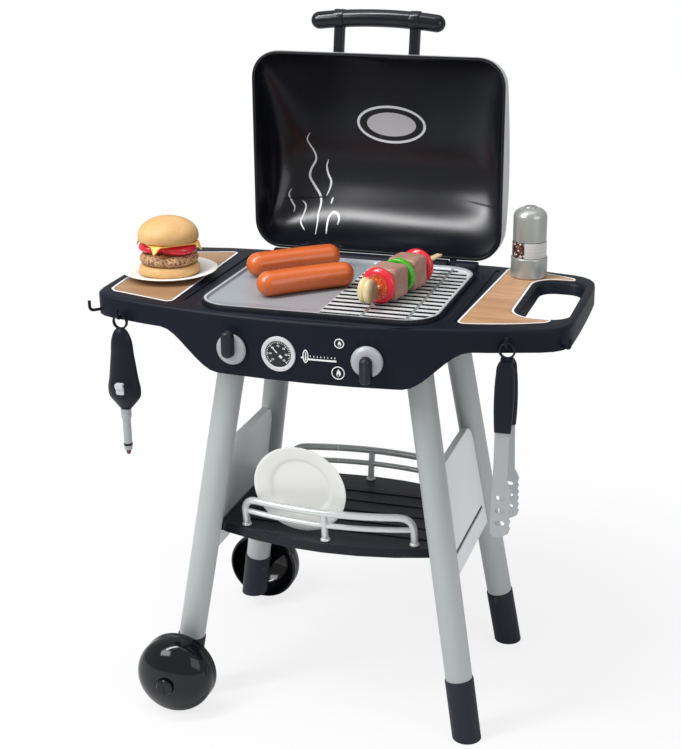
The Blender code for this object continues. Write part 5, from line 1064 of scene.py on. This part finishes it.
def build_tongs():
    """Two moulded handles with rounded sides under a ringed hinge piece, over slotted blades."""
    at = hook_at(0.275, 0.618)
    loop = rounded_rectangle(0.0085, 0.0042, 0.0014, 32)
    spine = stacked(loop, (-0.016, -0.0165, -0.0285, -0.029), (0.93, 1, 1, 0.93))
    piece("tongs_head", [hanging_ring(at), skin(placed(spine, None, at))], "tool black", "tongs", "tongs_ring")
    drops = (0.0, 0.04, 0.2, 0.5, 0.85, 1.0)
    places, width = eased(drops, (0.3, 0.38, 0.46, 0.5, 0.46, 0.42), 30)
    depth = eased(drops, (0.4, 0.46, 0.5, 0.5, 0.46, 0.4), 30)[1]
    rings = np.concatenate([stacked(rounded_rectangle(half_x, half_y, half_y * 0.85, 40), [0.005 - 0.098 * share])
                            for share, half_x, half_y in zip(places, 0.0275 * width, 0.009 * depth)])
    for end, name in ((-1, "front"), (1, "back")):
        grip = skin(placed(rings, about_x(end * 5.5), at + (0, end * 0.009, -0.024)))
        piece(f"tongs_grip_{name}", grip, "tool black", f"tongs_{name}_arm", f"tongs_handle_{name}", 50)
        edged(f"tongs_blade_{name}", f"tongs_jaw_{name}", "tool grey", f"tongs_{name}_arm", 0.0005, 35, 34)


# Mill, plates and food

def build_mill():
    """Round base, jar band and a domed cap with a low button, all turned."""
    at, low = np.array([mill_x, mill_y, deck_top + 4 * gap]), 0.031
    piece("mill_foot", lathe(drum(0.0275, low, 0, 0.0022, 5), 72, at), "mill silver", "mill", "mill_base")
    low += gap
    jar = softened([(0, low + 0.033), (0.012, low + 0.033), (0.012, low + 0.023), (0.0258, low + 0.023), (0.0258, low),
                    (0, low)], 0.0006, 3)
    piece("mill_band", lathe(jar, 72, at), "pepper jar", "mill", "mill_jar")
    low += 0.023 + 2 * gap
    top, shoulder = low + 0.052, low + 0.036
    turn = np.radians(np.linspace(84, 0, 16))
    dome = arc(0.0162, 0.0137, turn, (0.009, shoulder))
    cap = np.vstack([[(0, top), (0.0082, top), (0.009, top - 0.0008), (0.0092, shoulder + 0.0139)], dome,
                     [(0.0252, low + 0.001), (0.0244, low), (0.0126, low), (0.0126, low + 0.0106), (0, low + 0.0106)]])
    piece("mill_top", lathe(cap, 72, at), "mill silver", "mill_cap", "mill_cap")
    beads = [lathe(drum(0.0011, 0.0008, 0, 0.0004, 2), 12, at + (*toward(60 * k) * 0.0055, top - 0.0004))
             for k in range(6)]
    piece("mill_grate", beads, "print dark", "mill_cap")


serving_at = np.array([-0.274, -0.019, 0.6392])


def build_plates():
    """Foot, flat well, a step up and a rim that rises gently to a rounded lip, lying or standing on edge."""
    profile = softened([(0, 0.0025), (0.044, 0.0025), (0.0492, 0.0063), (0.069, 0.0112), (0.0723, 0.0106),
                        (0.0712, 0.0092), (0.05, 0.0034), (0.043, 0.0), (0, 0.0)], 0.003, 6)
    piece("serving_dish", lathe(profile, 120, serving_at), "plate white", "serving_plate", "plate_serving")
    lean = 98
    lowest = toward(lean) @ (0.0115, -0.0725)
    stored = lathe(profile, 120, (-0.043, -0.095, 0.277 + gap - lowest), about_x(lean))
    piece("stored_dish", stored, "plate white", "stored_plate", "plate_stored")


def lumpy(points, centre, height, scale, seed):
    """Points pushed out from a centre by a sum of sines of unlike lengths, which stands for hand-shaped lumps."""
    phase = np.random.default_rng(seed).uniform(0, 6.28, (6, 3))
    waves = sum(np.sin(points @ (np.array([1.0, 0.8, 1.3]) * scale * (0.6 + 0.35 * k) * np.roll([1, -1, 1], k))
                       + phase[k].sum()) for k in range(6)) / 6
    away = points - np.asarray(centre, float)
    away /= np.maximum(np.linalg.norm(away, axis=-1, keepdims=True), 1e-9)
    return points + away * (waves * height)[..., None]


def build_burger():
    """Layers stacked on the plate: rounded base, minced patty, two tomato slices, draped cheese, domed crown."""
    low = 0.0028

    def layer(run, radius, steps=8):
        """Profile given over the layer's own base."""
        return softened(np.add(run, (0, low)), radius, steps)

    base = layer([(0, 0), (0.04, 0), (0.046, 0.0035), (0.046, 0.0105), (0.0425, 0.017), (0, 0.017)], 0.006)
    base = lumpy(turned(base, 96), (0, 0, low + 0.008), 0.0003, 60, 3)
    piece("burger_bun_base", skin(placed(base, None, serving_at)), "bun crust", "bun_base", "bun_base")
    low += 0.0173
    patty = layer([(0, 0), (0.0385, 0), (0.044, 0.005), (0.044, 0.0105), (0.039, 0.0158), (0, 0.0158)], 0.005, 10)
    patty = lumpy(turned(evenly(patty, 60), 160), (0, 0, low + 0.008), 0.0005, 260, 5)
    patty = lumpy(patty, (0, 0, low + 0.008), 0.0004, 620, 8)
    piece("burger_mince", skin(placed(patty, None, serving_at)), "patty mince", "patty", "burger_patty", 60)
    low += 0.0163
    slices = layer([(0, 0), (0.0215, 0), (0.0288, 0.0045), (0.0288, 0.011), (0.0215, 0.0153), (0, 0.0153)], 0.006)
    slices = [lathe(slices, 80, serving_at + (side * 0.016, -0.004, 0)) for side in (-1, 1)]
    piece("burger_tomato_slices", slices, "tomato", "tomato", "burger_tomato")
    low += 0.0158
    half, thick = 0.038, (0, 0, 0.002)
    across, along = np.meshgrid(np.linspace(-1, 1, 41), np.linspace(-1, 1, 41), indexing="ij")
    past = np.clip((np.sqrt(across ** 2 + along ** 2) * half - 0.046) / (half * math.sqrt(2) - 0.046), 0, 1)
    sheet = np.stack([across * half, along * half, low - 0.01 * past ** 2 * (3 - 2 * past)], axis=2)
    rim = np.concatenate([sheet[0, :-1], sheet[:-1, -1], sheet[-1, :0:-1], sheet[:0:-1, 0]])
    sides = [leaf(placed(side, about_z(45), serving_at)) for side in (sheet + thick, sheet[::-1])]
    sides.append(skin(placed(np.stack([rim, rim + thick]), about_z(45), serving_at), open_ends=True))
    piece("burger_cheese_sheet", sides, "cheese yellow", "cheese", "burger_cheese", 50)
    low += 0.0025
    turn = np.radians(np.linspace(90, 0, 30))
    crown = np.vstack([arc(0.0455, 0.0288, turn, (0, low + 0.0072)),
                       layer([(0.0455, 0.0072), (0.045, 0.0004), (0.03, 0), (0, 0)], 0.003, 5)])
    crown = lumpy(turned(crown, 96), (0, 0, low + 0.01), 0.0004, 50, 7)
    piece("burger_bun_crown", skin(placed(crown, None, serving_at)), "bun crust", "bun_crown", "bun_crown", 60)


def build_sausages():
    """Slightly bent, with round ends."""
    half = 0.075
    share = np.sin(np.linspace(-np.pi / 2, np.pi / 2, 71))
    path = np.stack([share * half, 0.004 * (1 - share ** 2), 0 * share], axis=1)
    rings = swept(path, round_ended(share, half, 0.0175, 0.0181), 48, (0, 0, 1))
    for name, x, y in (("rear", -0.094, 0.036), ("front", -0.042, -0.058)):
        made = skin(placed(rings, about_z(42), (x, y, grate_top + 0.0182)))
        piece(f"sausage_{name}_skin", made, "sausage skin", f"sausage_{name}", f"sausage_{name}", 60)


def build_skewer():
    """Pieces threaded along the stick, each carried along it and turned with it."""
    at, swing = (0.0665, -0.1345, grate_top + 0.0265), 12.2
    turn = about_z(-swing)

    def threaded(grid, place=0.0, hollow=False):
        """Grid turned about Z laid along the stick: Z becomes Y."""
        return skin(placed(placed(grid, about_x(-90), (0, place, 0)), turn, at), hollow)

    def food(name, shapes, finish, node, smooth=38):
        """Piece of the skewer, standing for a CAD node."""
        piece(f"skewer_{name}", shapes, finish, "skewer", f"skewer_{node}", smooth)

    stick = stacked(rounded_rectangle(0.005, 0.0018, 0.0009, 24), (0.012, 0.0128, 0.236, 0.238), (0.8, 1, 1, 0.7))
    food("bar", threaded(stick), "stick", "stick")
    lobes = []
    for middle_x, half_x, half_z, low, high in ((-0.005, 0.0088, 0.0183, 0.0012, 0.0306),
                                                (0.0046, 0.009, 0.0172, 0.0004, 0.027)):
        tilt, turns = np.linspace(0.03, np.pi - 0.03, 28)[:, None], around(56)
        swell = np.sin(tilt) ** 0.72
        lobes.append(threaded(np.stack([middle_x + half_x * swell * np.cos(turns),
                                        half_z * swell * np.sin(turns) * (1 + 0.05 * np.cos(3 * turns)),
                                        (high + low) / 2 - (high - low) / 2 * np.cos(tilt) + 0 * turns], axis=2)))
    flesh_x = at[0] + 0.0155 * math.sin(math.radians(swing)) + layout_x
    mushroom_flesh(flesh_x - 0.0005, flesh_x + 0.011)
    food("mushroom_halves", lobes, "mushroom flesh", "mushroom", 60)
    run = np.array([(0, slice_half), (0.015, slice_half), (0.016, 0.0064), (0.0215, 0.0065), (0.0262, 0.003)])
    run = softened(np.vstack([run, (run * (1, -1))[::-1]]), 0.0024, 6)
    ends = ((0.02, 0.85), (0.0194, 0.93), (0.018, 0.98))
    levels = [-z for z, grow in ends] + list(np.linspace(-0.015, 0.015, 12)) + [z for z, grow in ends[::-1]]
    grows = [grow for z, grow in ends] + [1] * 12 + [grow for z, grow in ends[::-1]]
    cube = np.concatenate([stacked(rounded_rectangle(0.02275 * grow, 0.02275 * grow, 0.0062, 72), [z])
                           for z, grow in zip(levels, grows)])
    cube = lumpy(cube, (0, 0, 0), 0.0005, 110, 11)
    for name, slice_at, meat_at in (("front", 0.0455, 0.0735), ("back", 0.163, 0.132)):
        axis = turn @ np.array([0, 1.0, 0])
        tomato_slice(f"cut tomato {name}", at + axis * slice_at + layout, axis)
        food(f"tomato_slice_{name}", threaded(turned(run, 80), slice_at), f"cut tomato {name}", f"tomato_{name}")
        food(f"cube_{name}", threaded(cube, meat_at), "meat cube", f"meat_{name}")
    run = [(0.0193, 0), (0.0193, 0.0055), (0.0258, 0.0055), (0.0258, -0.0055), (0.0193, -0.0055), (0.0193, 0)]
    ring = turned(softened(run, 0.0022, 5)[:-1], 96)
    ring[..., :2] *= (1 + 0.012 * np.cos(5 * around(96)))[:, None]
    core = stacked(rounded_rectangle(0.0195, 0.0085, 0.003, 40), (-0.0052, -0.0045, 0.0045, 0.0052), (0.95, 1, 1, 0.95))
    food("pepper_ring", [threaded(ring, 0.1035, True), threaded(core, 0.1035)], "pepper green", "pepper")


# Floor, light and camera

def build_floor():
    """Pale floor: the camera sees it nearly white, darkened only by the object's shadow near it, and the share
    of plain white rises to one with the distance from the object."""
    shader, tree = new_material("floor white", Base_Color=rgba((0.84, 0.84, 0.84)), Roughness=0.9,
                                Specular_IOR_Level=0.0)
    glow = add(tree, "Emission", {"Color": (1, 1, 1, 1), "Strength": 1.0})
    away = add(tree, "VectorMath", {0: add(tree, "TexCoord").outputs["Object"]}, operation="LENGTH").outputs["Value"]
    seen = add(tree, "LightPath").outputs["Is Camera Ray"]
    share = maths("MULTIPLY", seen, ranged(away, 0.35, 1.1, 0.8, 1.0))
    mix = add(tree, "MixShader", {0: share, 1: shader.outputs[0], 2: glow.outputs[0]})
    feed(tree.nodes["Material Output"], {"Surface": mix.outputs[0]})
    mesh = bpy.data.meshes.new("floor")
    mesh.from_pydata([(-6, -6, 0), (6, -6, 0), (6, 6, 0), (-6, 6, 0)], [], [(0, 1, 2, 3)])
    mesh.materials.append(finishes["floor white"])
    linked("floor", mesh)


def build_studio():
    """White surroundings, stronger to the camera than to the object."""
    world = bpy.context.scene.world = bpy.data.worlds.new("studio")
    world.use_nodes = True
    path = add(world.node_tree, "LightPath").outputs
    seen = maths("MAXIMUM", path["Is Camera Ray"], path["Is Transmission Ray"])
    strength = maths("ADD", maths("MULTIPLY", seen, 0.55), 0.45)
    feed(world.node_tree.nodes["Background"], {"Color": (1, 1, 1, 1), "Strength": strength})


def softbox(name, place, aim, size, power, along=(1, 0, 0)):
    """Soft area light at a place, facing an aim, with its width laid along a direction."""
    lamp = bpy.data.lights.new(name, "AREA")
    lamp.shape = "RECTANGLE"
    lamp.size, lamp.size_y = size
    lamp.energy = power
    made = linked(name, lamp)
    back = (Vector(place) - Vector(aim)).normalized()
    across = (Vector(along) - back * back.dot(Vector(along))).normalized()
    made.matrix_world = Matrix((across, back.cross(across), back)).transposed().to_4x4()
    made.location = place


def build_lights():
    """Key from the front left, fill from the right, a top light, and a strip for the long highlight in the lid."""
    softbox("key light", (-1.65, -1.9, 2.3), (0, 0, 0.5), (1.3, 1.0), 34)
    softbox("fill light", (2.2, -1.2, 1.4), (0, 0, 0.5), (1.6, 1.6), 14)
    softbox("top light", (0.1, 0.2, 2.8), (0, 0, 0.5), (1.8, 1.4), 9)
    softbox("strip light", (-0.85, -0.7, 2.45), (0, 0.2, 0.65), (1.6, 0.22), 34, (-0.75, -0.66, 0))


def build_camera():
    """Camera at a turn and a rise about an aim, at a distance."""
    lens = bpy.data.cameras.new("camera")
    lens.sensor_fit = "VERTICAL"
    lens.sensor_width = lens.sensor_height = 36
    lens.lens = 69.3
    lens.shift_x = -0.0756
    camera = linked("camera", lens)
    turn, rise, distance = math.radians(15.815), math.radians(19.474), 2.1548
    back = Vector((math.sin(turn) * math.cos(rise), -math.cos(turn) * math.cos(rise), math.sin(rise)))
    camera.location = Vector((0.07764, 0.0, 0.50599)) + Vector(layout) + back * distance
    camera.rotation_euler = (-back).to_track_quat("-Z", "Y").to_euler()
    bpy.context.scene.camera = camera


bpy.context.scene.view_settings.view_transform = "Standard"
for build in (build_camera, build_deck, build_surround, build_label_borders, build_gauge, build_scale, build_knob_marks,
              build_knobs, build_legs, build_shelf_and_panels, build_rails, build_wheels, build_lid, build_lid_handle,
              build_badge, build_steam_lines, build_lid_ledges, build_lighter, build_tongs, build_mill, build_plates,
              build_burger, build_sausages, build_skewer, build_floor, build_studio, build_lights):
    build()
